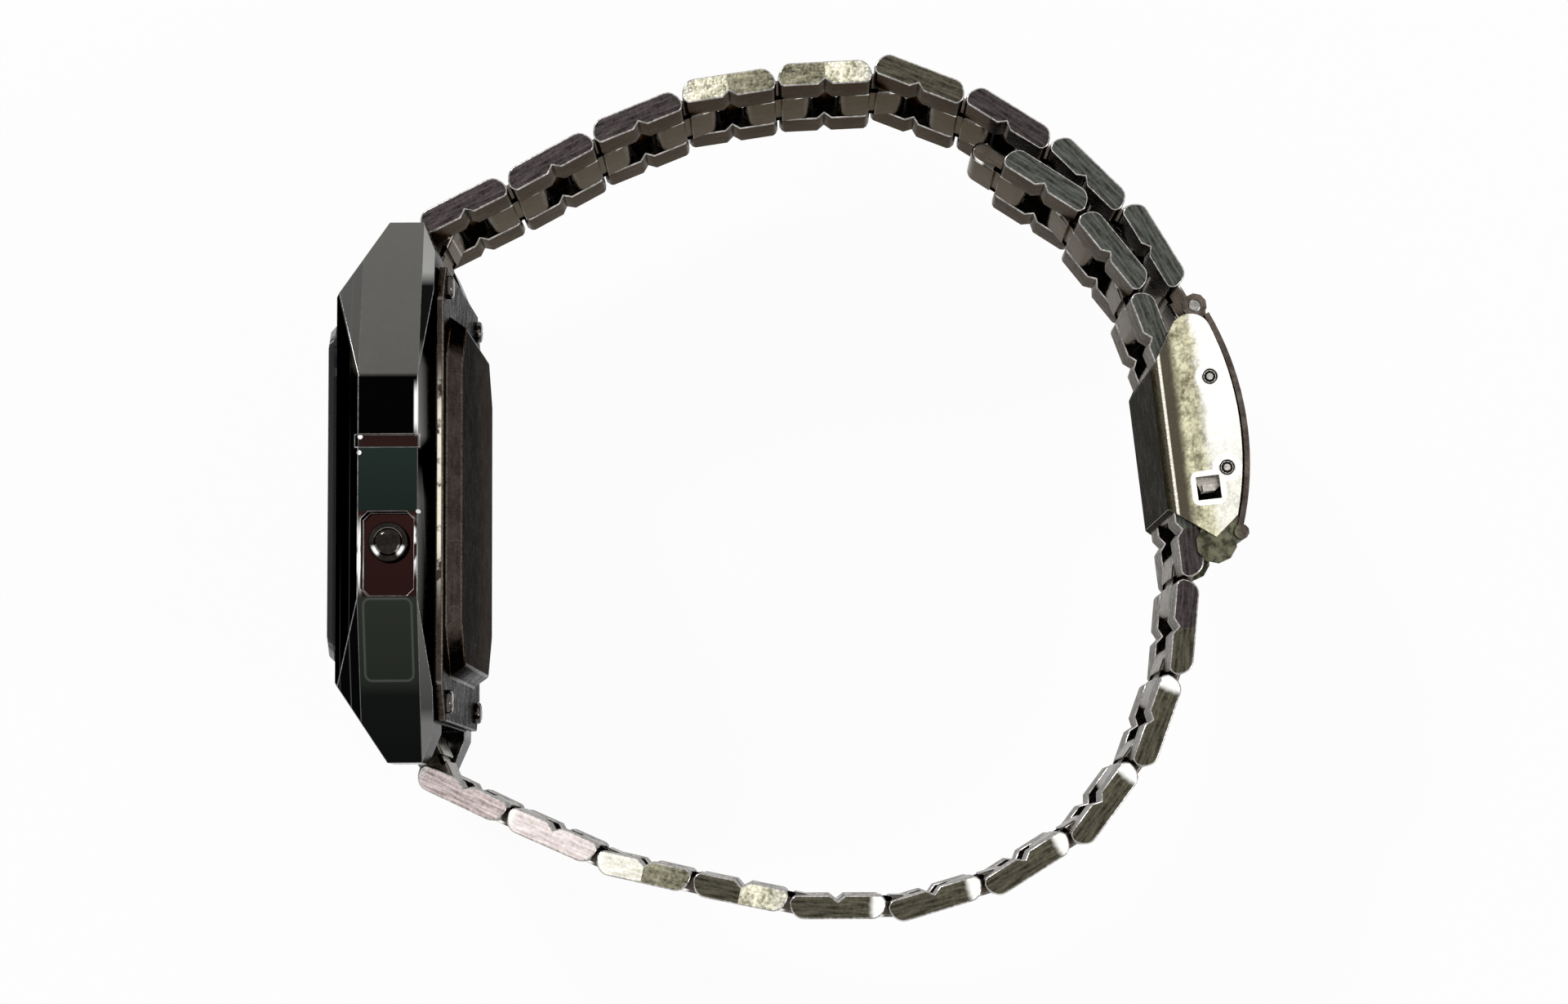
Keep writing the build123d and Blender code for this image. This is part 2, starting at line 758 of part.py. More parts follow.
def make_pusher(name, base, inward, y):
    """A pusher with its return spring and retaining clip."""
    face = base + inward * (dome_rise + fit_gap)
    collar = face + inward * collar_thickness
    floor = base + inward * pocket_depth
    wall = base + inward * side_wall
    with BuildPart() as pusher:
        with BuildSketch(Plane.XY.offset(face)):
            with Locations((0, y)):
                add(rod(collar_radius))
        extrude(amount=inward * collar_thickness)
        with BuildSketch(Plane.XY.offset(face)):
            with Locations((0, y)):
                add(rod(dome_radius))
        extrude(amount=-inward * dome_rise, taper=dome_slope)
        with BuildSketch(Plane.XY.offset(collar)):
            with Locations((0, y)):
                add(rod(stem_radius))
        extrude(amount=wall + inward * stem_reach - collar)
    save(pusher.part, f"pusher_{name}")
    with BuildPart() as spring:
        with BuildSketch(Plane.XY.offset(collar)):
            with Locations((0, y)):
                add(rod(spring_radius))
                add(bore(spring_radius - spring_wire), mode=Mode.SUBTRACT)
        extrude(amount=floor - collar)
    save(spring.part, f"pusher_spring_{name}")
    with BuildPart() as clip:
        with BuildSketch(Plane.XY.offset(wall + inward * fit_gap)):
            with Locations((0, y)):
                add(rod(clip_radius))
                add(rod(stem_radius), mode=Mode.SUBTRACT)
        extrude(amount=inward * clip_thickness)
    save(clip.part, f"pusher_clip_{name}")


def make_pushers():
    """The three pushers, and the seals round their stems in the case."""
    make_pusher("upper_left", 0, 1, pusher_offset)
    make_pusher("lower_left", 0, 1, -pusher_offset)
    make_pusher("right", case_width, -1, -pusher_offset)
    with BuildPart() as seals:
        for base, inward, places in sides():
            with BuildSketch(Plane.XY.offset(base + inward * pocket_depth)):
                with Locations([(0, y) for y in places]):
                    add(rod(seal_radius))
                with Locations([(0, y) for y in places]):
                    add(bore(stem_radius + stem_clearance), mode=Mode.SUBTRACT)
            extrude(amount=inward * seal_height)
    save(seals.part, "pusher_seals")


def channel_section():
    """Section of the slider's channel: two cheeks and the web, bent from one sheet."""
    low = -half_link - web_gap
    tall = cover_crest_v + overrun
    with BuildSketch() as inside:
        with Locations((0, low + tall / 2)):
            Rectangle(2 * cheek_inner, tall)
        fillet(inside.vertices().sort_by(Axis.Y)[:2], bend_radius - sheet)
    with BuildSketch() as section:
        with Locations((0, low + (tall - sheet) / 2)):
            Rectangle(2 * cheek_outer, tall + sheet)
        fillet(section.vertices().sort_by(Axis.Y)[:2], bend_radius)
        add(inside.sketch, mode=Mode.SUBTRACT)
    return section.sketch


def slider_outline():
    """Side view of the slider: cheeks that follow the cover's arch, down to the web."""
    drop = cover_thickness + cover_gap
    web_low = -half_link - web_gap - sheet
    with BuildSketch() as outline:
        with BuildLine():
            arch = ThreePointArc(
                (cheek_heel_u, cover_start_v - cover_gap),
                (cover_crest_u, cover_crest_v - drop),
                (cheek_shoulder_u, cover_end_v - cover_gap),
            )
            ThreePointArc(
                arch @ 1,
                (cheek_top_u, cheek_top_v),
                (cheek_back_u, cheek_back_v),
            )
            Polyline(
                (cheek_back_u, cheek_back_v),
                (web_end_u, web_low),
                (cheek_toe_u, web_low),
                (nose_u, nose_v),
                arch @ 0,
            )
        make_face()
    return outline.sketch


def make_slider():
    """The channel that clamps the strap, with the blade's pin and the locking flap's rivets."""
    section = channel_section()
    outline = slider_outline()
    start = clasp_start - heading(clasp_angle) * overrun
    with BuildPart() as channel:
        with BuildSketch(Plane(origin=start, x_dir=(0, 0, 1), z_dir=heading(clasp_angle))):
            add(section)
        extrude(amount=cheek_top_u + 2 * overrun)
        with BuildSketch(clasp_plane(cheek_outer + overrun)):
            add(outline)
        extrude(amount=2 * (cheek_outer + overrun), mode=Mode.INTERSECT)
        with BuildSketch(clasp_plane(cheek_outer + overrun)):
            with Locations((blade_pivot_u, pivot_v)):
                add(bore(clasp_pin + fit_gap))
            with Locations((flap_pivot_u, flap_pivot_v)):
                add(bore(rivet_radius + fit_gap))
            with Locations((window_u, window_v)):
                Rectangle(window_size, window_size)
        extrude(amount=2 * (cheek_outer + overrun), mode=Mode.SUBTRACT)
    save(channel.part, "clasp_slider")
    with BuildPart() as pin:
        with BuildSketch(clasp_plane(cheek_outer + fit_gap)):
            with Locations((blade_pivot_u, pivot_v)):
                add(rod(clasp_pin))
        extrude(amount=2 * (cheek_outer + fit_gap))
    save(pin.part, "blade_pin")
    rivet_length = cheek_outer + fit_gap - flap_width / 2 + flap_arm
    with BuildPart() as rivets:
        for top in (cheek_outer + fit_gap, rivet_length - cheek_outer - fit_gap):
            with BuildSketch(clasp_plane(top)):
                with Locations((flap_pivot_u, flap_pivot_v)):
                    add(rod(rivet_radius))
            extrude(amount=rivet_length)
    save(rivets.part, "lock_rivets")


def make_lock_flap():
    """The flap that presses on the strap: a plate on two arms, each with a tongue in a window."""
    low = half_link + flap_lift
    half = flap_width / 2
    with BuildPart() as flap:
        with BuildSketch(clasp_plane(half)):
            with BuildLine():
                Polyline(
                    (flap_start_u, low),
                    (flap_end_u, low),
                    (flap_end_u, low + flap_thickness),
                    (flap_start_u, low + flap_thickness),
                    close=True,
                )
            make_face()
        extrude(amount=flap_width)
        for top in (half, flap_arm - half):
            with BuildSketch(clasp_plane(top)):
                with BuildLine():
                    Polyline(
                        (flap_start_u, low),
                        (window_u - tongue_length / 2, window_v - tongue_height / 2),
                        (window_u - tongue_length / 2, window_v + tongue_height / 2),
                        (flap_pivot_u - arm_radius, flap_pivot_v),
                        (flap_pivot_u + arm_radius, flap_pivot_v),
                        (flap_pivot_u + arm_radius, low),
                        close=True,
                    )
                make_face()
                with Locations((flap_pivot_u, flap_pivot_v)):
                    Circle(arm_radius)
                with Locations((flap_pivot_u, flap_pivot_v)):
                    add(bore(rivet_radius + pin_clearance), mode=Mode.SUBTRACT)
            extrude(amount=flap_arm)
        reach = cheek_outer - half
        for top in (cheek_outer, -half):
            with BuildSketch(clasp_plane(top)):
                with Locations((window_u, window_v)):
                    Rectangle(tongue_length, tongue_height)
            extrude(amount=reach)
    save(flap.part, "lock_flap")


def make_blade():
    """The fold-over blade: a plate with a knuckle across its upper end and a narrow lower one."""
    shoulder = cover_pivot_u + cover_knuckle + shoulder_room
    with BuildPart() as blade:
        with BuildSketch(clasp_plane(blade_width / 2)):
            with Locations(((shoulder + blade_pivot_u) / 2, pivot_v)):
                Rectangle(blade_pivot_u - shoulder, blade_thickness)
            with Locations((blade_pivot_u, pivot_v)):
                Circle(blade_knuckle)
            with Locations((blade_pivot_u, pivot_v)):
                add(bore(clasp_pin + pin_clearance), mode=Mode.SUBTRACT)
        extrude(amount=blade_width)
        with BuildSketch(clasp_plane(blade_neck / 2)):
            with Locations(((shoulder + cover_pivot_u) / 2, pivot_v)):
                Rectangle(shoulder - cover_pivot_u, blade_thickness)
            with Locations((cover_pivot_u, pivot_v)):
                Circle(cover_knuckle)
            with Locations((cover_pivot_u, pivot_v)):
                add(bore(clasp_pin + pin_clearance), mode=Mode.SUBTRACT)
        extrude(amount=blade_neck)
    save(blade.part, "fold_blade")


def cover_plate():
    """The arched plate: a section with a crowned back, swept along the clasp, rolled at its end."""
    half = cover_width / 2
    across = [1 - step / arc_steps for step in range(2 * arc_steps + 1)]
    crown = [(half * x, cover_thickness + cover_crown * (1 - x * x)) for x in across]
    with BuildPart() as plate:
        with BuildLine(clasp_plane(0)) as arch:
            ThreePointArc(
                (cover_start_u, cover_start_v - cover_thickness),
                (cover_crest_u, cover_crest_v - cover_thickness),
                (cover_end_u, cover_end_v - cover_thickness),
            )
        path = arch.line
        with BuildSketch(Plane(origin=path @ 0, x_dir=(0, 0, 1), z_dir=path % 0)):
            with BuildLine():
                Polyline((-half, 0), (half, 0), *crown, close=True)
            make_face()
        sweep(path=path)
        with BuildSketch(clasp_plane(half)):
            with Locations((cover_start_u, cover_start_v)):
                add(rod(roll_radius))
        extrude(amount=cover_width)
    return plate.part


def make_cover():
    """The cover with its knuckles, the ears that carry the upper strap and the finger tabs."""
    plate = cover_plate()
    outer = wing_outer + side_layer
    lug_inner = blade_neck / 2 + play
    ear_slope = heading(ear_angle) * ear_radius
    with BuildPart() as cover:
        add(plate)
        for top in (lug_inner + lug_length, -lug_inner):
            with BuildSketch(clasp_plane(top)):
                with Locations((cover_pivot_u, pivot_v)):
                    add(rod(cover_knuckle))
                with Locations((cover_pivot_u, (pivot_v + cover_start_v) / 2)):
                    Rectangle(lug_neck, cover_start_v - pivot_v)
            extrude(amount=lug_length)
        with BuildSketch(clasp_plane(outer)):
            with Locations((cover_pivot_u, pivot_v)):
                add(rod(clasp_pin))
        extrude(amount=2 * outer, mode=Mode.SUBTRACT)
        for top in (outer, ear_thickness - outer):
            with BuildSketch(clasp_plane(top)):
                with BuildLine():
                    Polyline(
                        (cover_end_u - ear_root, cover_end_v),
                        (cover_end_u, cover_end_v - cover_thickness / 2),
                        (end_bar_u + ear_slope.X, end_bar_v + ear_slope.Y),
                        (end_bar_u, end_bar_v - ear_radius),
                        (end_bar_u - ear_radius, end_bar_v),
                        close=True,
                    )
                make_face()
                with Locations((end_bar_u, end_bar_v)):
                    add(rod(ear_radius))
                with Locations((end_bar_u, end_bar_v)):
                    add(bore(pin_radius + fit_gap), mode=Mode.SUBTRACT)
            extrude(amount=ear_thickness)
        for top in (outer, tab_thickness - outer):
            with BuildSketch(clasp_plane(top)):
                with Locations((tab_u, tab_v)):
                    add(rod(tab_radius))
                with Locations((tab_u + tab_root / 2, (tab_v + cover_start_v) / 2)):
                    Rectangle(tab_root, cover_start_v - tab_v)
            extrude(amount=tab_thickness)
    save(cover.part, "clasp_cover")
    half_pin = lug_inner + lug_length
    with BuildPart() as pin:
        with BuildSketch(clasp_plane(half_pin)):
            with Locations((cover_pivot_u, pivot_v)):
                add(rod(clasp_pin))
        extrude(amount=2 * half_pin)
    save(pin.part, "cover_pin")
    with BuildPart() as bar:
        with BuildSketch(clasp_plane(outer)):
            with Locations((end_bar_u, end_bar_v)):
                add(rod(pin_radius))
        extrude(amount=2 * outer)
    save(bar.part, "strap_end_bar")


os.makedirs("parts", exist_ok=True)
make_case_body()
make_crystal()
make_display()
make_module_frame()
make_power()
make_case_back()
make_pushers()
make_strap()
make_slider()
make_lock_flap()
make_blade()
make_cover()
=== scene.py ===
import bpy
import bmesh
from math import sin, cos, radians, pi, atan2, hypot
from mathutils import Matrix, Vector


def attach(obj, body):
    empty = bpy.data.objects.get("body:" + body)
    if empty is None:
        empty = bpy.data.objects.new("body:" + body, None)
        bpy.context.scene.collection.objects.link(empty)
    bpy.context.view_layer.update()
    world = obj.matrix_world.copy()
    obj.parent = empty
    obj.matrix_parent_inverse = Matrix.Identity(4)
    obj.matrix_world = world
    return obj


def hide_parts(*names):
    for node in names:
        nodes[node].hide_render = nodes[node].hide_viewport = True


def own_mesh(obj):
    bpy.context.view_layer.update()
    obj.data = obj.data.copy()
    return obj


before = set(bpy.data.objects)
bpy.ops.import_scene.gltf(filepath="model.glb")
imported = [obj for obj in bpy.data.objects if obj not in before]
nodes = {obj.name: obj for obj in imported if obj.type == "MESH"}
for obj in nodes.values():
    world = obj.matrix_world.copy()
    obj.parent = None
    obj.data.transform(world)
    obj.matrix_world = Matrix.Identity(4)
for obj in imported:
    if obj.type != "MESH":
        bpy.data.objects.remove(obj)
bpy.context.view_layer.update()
mm = 0.001
scene = bpy.context.scene

# case and strap places, repeated from the CAD source in millimetres;
# a pusher has its side face, the way it goes in and its place along the case
case = dict(mid=18.15, lcdFront=-1.85, plateBack=3.65, screwY=14.9, screwZ=12.0,
            crystalHalfLength=12.1, crystalHalfWidth=14.3,
            pushers=dict(upper_left=(0, 1, 3.9), lower_left=(0, 1, -3.9), right=(36.3, -1, -3.9)))
strap = dict(pitch=7.14, thickness=1.7, width=18.0, centre=8.0, play=0.12, fit=0.05, gap=0.2,
             round=1.0, cut=0.42, pin=0.4, bridge=0.55, notch=0.42, notchHalf=0.55,
             seam=0.25, seamHalf=0.22, lugX=1.3, lugY=17.4,
             topEnd=66, topAngles=[26.5, 28.5, 22, 8.5, 2.5, -21.5, -32.5, -45, -59],
             bottomEnd=-66,
             bottomAngles=[-25.5, -24, -13, -11.5, 0, 16.5, 32, 53, 70, 84.5, 96.5, 96.5, 110.5, 128.5, 147])


def heading(angle):
    return Vector((cos(radians(angle)), sin(radians(angle)), 0))


def chain(start, angles):
    places = [start]
    for angle in angles:
        places.append(places[-1] + heading(angle) * strap["pitch"])
    return places


topBar = Vector((strap["lugX"], strap["lugY"], case["mid"]))
bottomBar = Vector((strap["lugX"], -strap["lugY"], case["mid"]))
topPins = chain(topBar + heading(strap["topEnd"]) * (strap["pitch"] / 2), strap["topAngles"])
bottomPins = chain(bottomBar + heading(strap["bottomEnd"]) * (strap["pitch"] / 2), strap["bottomAngles"])
firstInClasp = 10  # index of the first of the two links that the slider clamps
claspAngle = strap["bottomAngles"][firstInClasp]
claspStart = bottomPins[firstInClasp] - heading(claspAngle) * (strap["pitch"] / 4)


def inClasp(u, v, z):
    across = heading(claspAngle - 90) * v
    return claspStart + heading(claspAngle) * u + across + Vector((0, 0, z - case["mid"]))


# camera
def makeCamera(values):
    data = bpy.data.cameras.new("camera")
    data.sensor_width = 36
    data.lens = values["lens"]
    data.clip_start = 0.01
    data.clip_end = 5
    camera = bpy.data.objects.new("camera", data)
    scene.collection.objects.link(camera)
    camera.location = Vector(values["place"]) * mm
    camera.rotation_euler = values["turn"]
    scene.camera = camera


makeCamera(dict(place=(28.957, -25.071, 299.2), turn=(0.09019, 0.00493, -0.00489), lens=86.585))
print("camera done")


# node helpers: each adds a node to the tree of the socket it is given, and returns its output
def mathNode(operation, first, second=None, clamp=False):
    tree = first.id_data
    node = tree.nodes.new("ShaderNodeMath")
    node.operation = operation
    node.use_clamp = clamp
    for index, value in enumerate((first, second)):
        if isinstance(value, (int, float)):
            node.inputs[index].default_value = value
        elif value is not None:
            tree.links.new(value, node.inputs[index])
    return node.outputs[0]


def times(first, *others):
    for other in others:
        first = mathNode("MULTIPLY", first, other)
    return first


def highest(first, *others):
    for other in others:
        first = mathNode("MAXIMUM", first, other)
    return first


def plus(first, second, clamp=False):
    return mathNode("ADD", first, second, clamp)


def minus(first, second):
    return mathNode("SUBTRACT", first, second)


def above(value, limit):
    return mathNode("GREATER_THAN", value, limit)


def below(value, limit):
    return mathNode("LESS_THAN", value, limit)


def away(value, middle=0.0):
    return mathNode("ABSOLUTE", minus(value, middle))


def hypotNode(first, second):
    squares = [mathNode("POWER", value, 2.0) for value in (first, second)]
    return mathNode("SQRT", plus(*squares))


def vectorNode(operation, first, second):
    tree = first.id_data
    node = tree.nodes.new("ShaderNodeVectorMath")
    node.operation = operation
    for index, value in enumerate((first, second)):
        if isinstance(value, (tuple, Vector)):
            node.inputs[index].default_value = value
        else:
            tree.links.new(value, node.inputs[index])
    return node.outputs[0]


def mixNode(factor, first, second):
    tree = factor.id_data
    node = tree.nodes.new("ShaderNodeMix")
    node.data_type = "RGBA"
    for socket, value in ((node.inputs[0], factor), (node.inputs[6], first), (node.inputs[7], second)):
        if isinstance(value, tuple):
            socket.default_value = (*value, 1)
        else:
            tree.links.new(value, socket)
    return node.outputs[2]


def rangeNode(value, low, high, newLow=0.0, newHigh=1.0, smooth=True):
    tree = value.id_data
    node = tree.nodes.new("ShaderNodeMapRange")
    node.interpolation_type = "SMOOTHSTEP" if smooth else "LINEAR"
    tree.links.new(value, node.inputs["Value"])
    node.inputs["From Min"].default_value = low
    node.inputs["From Max"].default_value = high
    node.inputs["To Min"].default_value = newLow
    node.inputs["To Max"].default_value = newHigh
    return node.outputs["Result"]


def noiseNode(vector, scale, detail=2.0, roughness=0.5):
    tree = vector.id_data
    node = tree.nodes.new("ShaderNodeTexNoise")
    tree.links.new(vector, node.inputs["Vector"])
    node.inputs["Scale"].default_value = scale
    node.inputs["Detail"].default_value = detail
    node.inputs["Roughness"].default_value = roughness
    return node.outputs["Fac"]


def splitAxes(place):
    tree = place.id_data
    node = tree.nodes.new("ShaderNodeSeparateXYZ")
    tree.links.new(vectorNode("MULTIPLY", place, (1 / mm, 1 / mm, 1 / mm)), node.inputs[0])
    return node.outputs


def ramp(value, stops):
    low, high = stops[0][0], stops[-1][0]
    tree = value.id_data
    node = tree.nodes.new("ShaderNodeValToRGB")
    band = node.color_ramp.elements
    for index, (at, colour) in enumerate(stops):
        spot = (at - low) / (high - low)
        element = band[index] if index < 2 else band.new(spot)
        element.position = spot
        element.color = (*colour, 1)
    tree.links.new(rangeNode(value, low, high, smooth=False), node.inputs[0])
    return node.outputs[0]


# shares from 0 to 1 that tones are made of; the tones' places are in millimetres
def bandShare(value, middle, half):
    return rangeNode(away(value, middle), half, half * 0.4)


def patchShare(first, second, firstBand, secondBand):
    return times(bandShare(first, *firstBand), bandShare(second, *secondBand))


def brokenShare(place, scale, low, high, detail=2.0, roughness=0.5):
    return rangeNode(noiseNode(place, scale, detail, roughness), low, high)


def wavy(value, place, scale, amount, detail=2.0, roughness=0.5):
    return plus(value, times(noiseNode(place, scale, detail, roughness), amount))


def spotDistance(first, second, spot):
    return hypotNode(away(first, spot[0]), away(second, spot[1]))


def boxDistance(first, second, box):  # outside a box with round corners, negative inside
    parts = []
    for value, middle, reach in zip((first, second), box["centre"], box["half"]):
        parts.append(highest(minus(away(value, middle), reach - box["corner"]), 0.0))
    return minus(hypotNode(*parts), box["corner"])


# shared shader groups
def groupTree(name, inputs, outputs):
    tree = bpy.data.node_groups.new(name, "ShaderNodeTree")
    kinds = {1: "NodeSocketFloat", 3: "NodeSocketVector", 4: "NodeSocketColor"}
    for side, sockets in (("INPUT", inputs), ("OUTPUT", outputs)):
        for label, value in sockets.items():
            kind = kinds[len(value) if isinstance(value, tuple) else 1]
            socket = tree.interface.new_socket(name=label, in_out=side, socket_type=kind)
            socket.default_value = value
    return tree, tree.nodes.new("NodeGroupInput").outputs, tree.nodes.new("NodeGroupOutput").inputs


# noises by scale, the two values that the share runs between, detail and roughness
skinValues = dict(streaks=(1.0, 0.34, 0.66, 4.0, 0.62), clouds=(900.0, 0.36, 0.64, 3.0, 0.6), cloudShare=0.55,
                  specks=(4200.0, 0.40, 0.62, 1.0), speckShare=0.45, finer=2.7)


def steelSkinGroup(values):
    inputs = dict(Vector=(0, 0, 0), Grain=(1, 1, 1), Dark=(0.1, 0.1, 0.1, 1), Light=(0.3, 0.3, 0.3, 1),
                  Streaks=0.5, Mottle=0.5, Smooth=0.2, Rough=0.4)
    tree, given, end = groupTree("steelSkin", inputs, dict(Color=(0, 0, 0, 1), Roughness=0.0, Height=0.0))
    finer = (values["finer"], values["finer"], values["finer"])
    stretched = vectorNode("MULTIPLY", given["Vector"], given["Grain"])
    streak = brokenShare(stretched, *values["streaks"])
    fine = noiseNode(vectorNode("MULTIPLY", stretched, finer), 1.0, 2.0, 0.6)
    cloud = brokenShare(given["Vector"], *values["clouds"])
    speck = brokenShare(given["Vector"], *values["specks"])
    mottle = plus(times(cloud, values["cloudShare"]), times(speck, values["speckShare"]))
    share = plus(times(streak, given["Streaks"]), times(mottle, given["Mottle"]), clamp=True)
    tree.links.new(mixNode(share, given["Dark"], given["Light"]), end["Color"])
    span = minus(given["Rough"], given["Smooth"])
    tree.links.new(plus(given["Smooth"], times(span, mottle)), end["Roughness"])
    height = plus(times(fine, given["Streaks"]), times(speck, given["Mottle"]))
    tree.links.new(height, end["Height"])
    return tree


wearValues = dict(stretch=(300.0, 9000.0, 700.0), scratches=(1.0, 0.66, 0.74, 2.0, 0.7),
                  smudges=(160.0, 0.4, 0.7, 4.0, 0.6))


def wearGroup(values):
    inputs = dict(Vector=(0, 0, 0), Amount=0.1)
    tree, given, end = groupTree("hairlines", inputs, dict(Scratch=0.0, Smudge=0.0))
    stretched = vectorNode("MULTIPLY", given["Vector"], values["stretch"])
    scratch = times(brokenShare(stretched, *values["scratches"]), given["Amount"])
    smudge = times(brokenShare(given["Vector"], *values["smudges"]), given["Amount"])
    tree.links.new(scratch, end["Scratch"])
    tree.links.new(smudge, end["Smudge"])
    return tree


steelSkin = steelSkinGroup(skinValues)
hairlines = wearGroup(wearValues)


def newMaterial(name):
    material = bpy.data.materials.new(name)
    material.use_nodes = True
    tree = material.node_tree
    tree.nodes.clear()
    shader = tree.nodes.new("ShaderNodeBsdfPrincipled")
    output = tree.nodes.new("ShaderNodeOutputMaterial")
    tree.links.new(shader.outputs[0], output.inputs[0])
    place = tree.nodes.new("ShaderNodeTexCoord").outputs["Object"]
    return material, tree, shader, place


def groupNode(tree, group, **values):
    node = tree.nodes.new("ShaderNodeGroup")
    node.node_tree = group
    for label, value in values.items():
        socket = node.inputs[label]
        if isinstance(value, (int, float)):
            socket.default_value = value
        elif isinstance(value, tuple):
            socket.default_value = (*value, 1) if socket.type == "RGBA" else value
        else:
            tree.links.new(value, socket)
    return node


def addBump(tree, shader, height, strength, distance):
    bump = tree.nodes.new("ShaderNodeBump")
    bump.inputs["Strength"].default_value = strength
    bump.inputs["Distance"].default_value = distance
    tree.links.new(height, bump.inputs["Height"])
    tree.links.new(bump.outputs["Normal"], shader.inputs["Normal"])


# every steel starts from these values; a look writes over what differs
steelDefaults = dict(grain=(900.0, 9000.0, 900.0), streaks=0.5, mottle=0.5, smooth=0.15, rough=0.3,
                     wear=0.06, bump=0.15, depth=0.00004, tint=1.0, tone=None, matte=None,
                     scratch=(0.8, 0.78, 0.74))


def steel(name, given):
    values = {**steelDefaults, **given}
    material, tree, shader, place = newMaterial(name)
    labels = ("Grain", "Dark", "Light", "Streaks", "Mottle", "Smooth", "Rough")
    skin = groupNode(tree, steelSkin, Vector=place, **{label: values[label.lower()] for label in labels})
    wear = groupNode(tree, hairlines, Vector=place, Amount=values["wear"])
    colour = mixNode(wear.outputs["Scratch"], skin.outputs["Color"], values["scratch"])
    if values["tone"]:
        colour = values["tone"](place, colour)
    tree.links.new(colour, shader.inputs["Base Color"])
    rough = plus(skin.outputs["Roughness"], wear.outputs["Smudge"])
    tree.links.new(rough, shader.inputs["Roughness"])
    shader.inputs["Metallic"].default_value = 1.0
    if values["matte"]:
        tree.links.new(values["matte"](place), shader.inputs["Metallic"])
        shader.inputs["Specular IOR Level"].default_value = 0.0
    tint = values["tint"] if isinstance(values["tint"], tuple) else (values["tint"],) * 3
    shader.inputs["Specular Tint"].default_value = (*tint, 1)
    addBump(tree, shader, skin.outputs["Height"], values["bump"], values["depth"])
    return material


# colours of painted highlights: the first for glints on the case and pushers, the second for glints on the
# centre pieces and the lit ends of the wings
paintedGlare = (1.0, 0.99, 0.97)
paintedSheen = (0.95, 0.94, 0.9)

# painted reflections on the case: stops along the side faces, the bezel's slopes and the edge behind them
casePaintedReflections = dict(
    side=[(-19.3, (0.0045, 0.0056, 0.0052)), (-14.6, (0.0065, 0.0078, 0.0072)),
          (-13.6, (0.0175, 0.0205, 0.0165)), (-8.0, (0.0235, 0.027, 0.022)),
          (-7.8, (0.0235, 0.027, 0.022)), (-7.72, (0.021, 0.0085, 0.0075)), (-1.82, (0.028, 0.0105, 0.009)),
          (-1.78, (0.012, 0.019, 0.0165)), (2.72, (0.0165, 0.026, 0.022)), (2.78, (0.026, 0.012, 0.0105)),
          (3.62, (0.022, 0.0105, 0.0095)), (3.68, (0.0012, 0.0012, 0.0013)), (7.8, (0.0012, 0.0012, 0.0013)),
          (7.9, (0.112, 0.107, 0.099)), (19.3, (0.132, 0.128, 0.119))],
    slope=[(-19.3, (0.002, 0.002, 0.0021)), (7.2, (0.0016, 0.0016, 0.0018)), (8.6, (0.085, 0.085, 0.081)),
           (19.3, (0.105, 0.104, 0.1))],
    edge=[(-19.3, (0.17, 0.168, 0.162)), (-16.5, (0.16, 0.158, 0.152)), (-15.5, (0.055, 0.055, 0.053)),
          (-8.5, (0.12, 0.12, 0.117)), (-1.0, (0.17, 0.17, 0.166)), (2.4, (0.01, 0.01, 0.01)),
          (3.6, (0.24, 0.24, 0.235)), (8.5, (0.19, 0.188, 0.182)), (10.5, (0.006, 0.006, 0.006)),
          (14.5, (0.006, 0.006, 0.006)), (15.5, (0.34, 0.34, 0.33)), (19.3, (0.3, 0.3, 0.29))],
)
# the sides begin at a distance from the middle; bands have a middle and a half width
caseMarks = dict(
    sideFrom=14.15, sideHalf=2.08, slopeX=(-3.86, -2.12), edgeFrom=12.4, edgeX=2.12, nearFrom=13.9,
    panel=dict(centre=(0.0, -10.75), half=(1.72, 2.85), corner=0.5),
    panelIn=(-0.16, -0.04), panelOut=(0.1, 0.0), panelShare=0.6, panelColour=(0.085, 0.092, 0.082),
    stripes=[(-2.75, 0.05), (-3.5, 0.04)], stripeShare=0.5, stripeColour=(0.12, 0.12, 0.118),
    # the lines, the broken line and the spots are painted glints
    lines=[((1.98, 0.2), (5.5, 2.1)), ((-1.92, 0.2), (-4.9, 3.0))], brokenLine=((1.92, 0.17), (-4.2, 2.3)),
    breaks=(700.0, 0.4, 0.5),
    spots=[((-1.97, 3.5), 0.2), ((-2.0, 2.35), 0.19), ((2.15, -1.8), 0.17)])


# paints reflections on the case's sides, the bezel's slopes and the edge, with a lighter panel line and
# stripes on them, and painted glints on the near side
def casePaintedLight(place, colour):
    x, y, z = splitAxes(place)
    marks = caseMarks
    side = away(z, case["mid"])
    sideTone, slopeTone, edgeTone = [ramp(y, casePaintedReflections[face]) for face in ("side", "slope", "edge")]
    onSide = times(above(side, marks["sideFrom"]), below(away(x), marks["sideHalf"]))
    onSlope = times(above(x, marks["slopeX"][0]), below(x, marks["slopeX"][1]))
    onEdge = times(above(x, marks["edgeX"]), above(side, marks["edgeFrom"]))
    panel = boxDistance(x, y, marks["panel"])
    line = times(rangeNode(panel, *marks["panelIn"]), rangeNode(panel, *marks["panelOut"]))
    sideTone = mixNode(times(line, marks["panelShare"]), sideTone, marks["panelColour"])
    stripe = highest(*[bandShare(x, *band) for band in marks["stripes"]])
    slopeTone = mixNode(times(stripe, marks["stripeShare"]), slopeTone, marks["stripeColour"])
    for share, tone in ((onSide, sideTone), (onSlope, slopeTone), (onEdge, edgeTone)):
        colour = mixNode(share, colour, tone)
    broken = patchShare(x, y, *marks["brokenLine"])
    glints = [times(broken, brokenShare(place, *marks["breaks"]))]
    glints += [patchShare(x, y, *bands) for bands in marks["lines"]]
    for spot, size in marks["spots"]:
        glints.append(rangeNode(spotDistance(x, y, spot), size, size * 0.7))
    near = above(z, case["mid"] + marks["nearFrom"])
    return mixNode(times(highest(*glints), near), colour, paintedGlare)
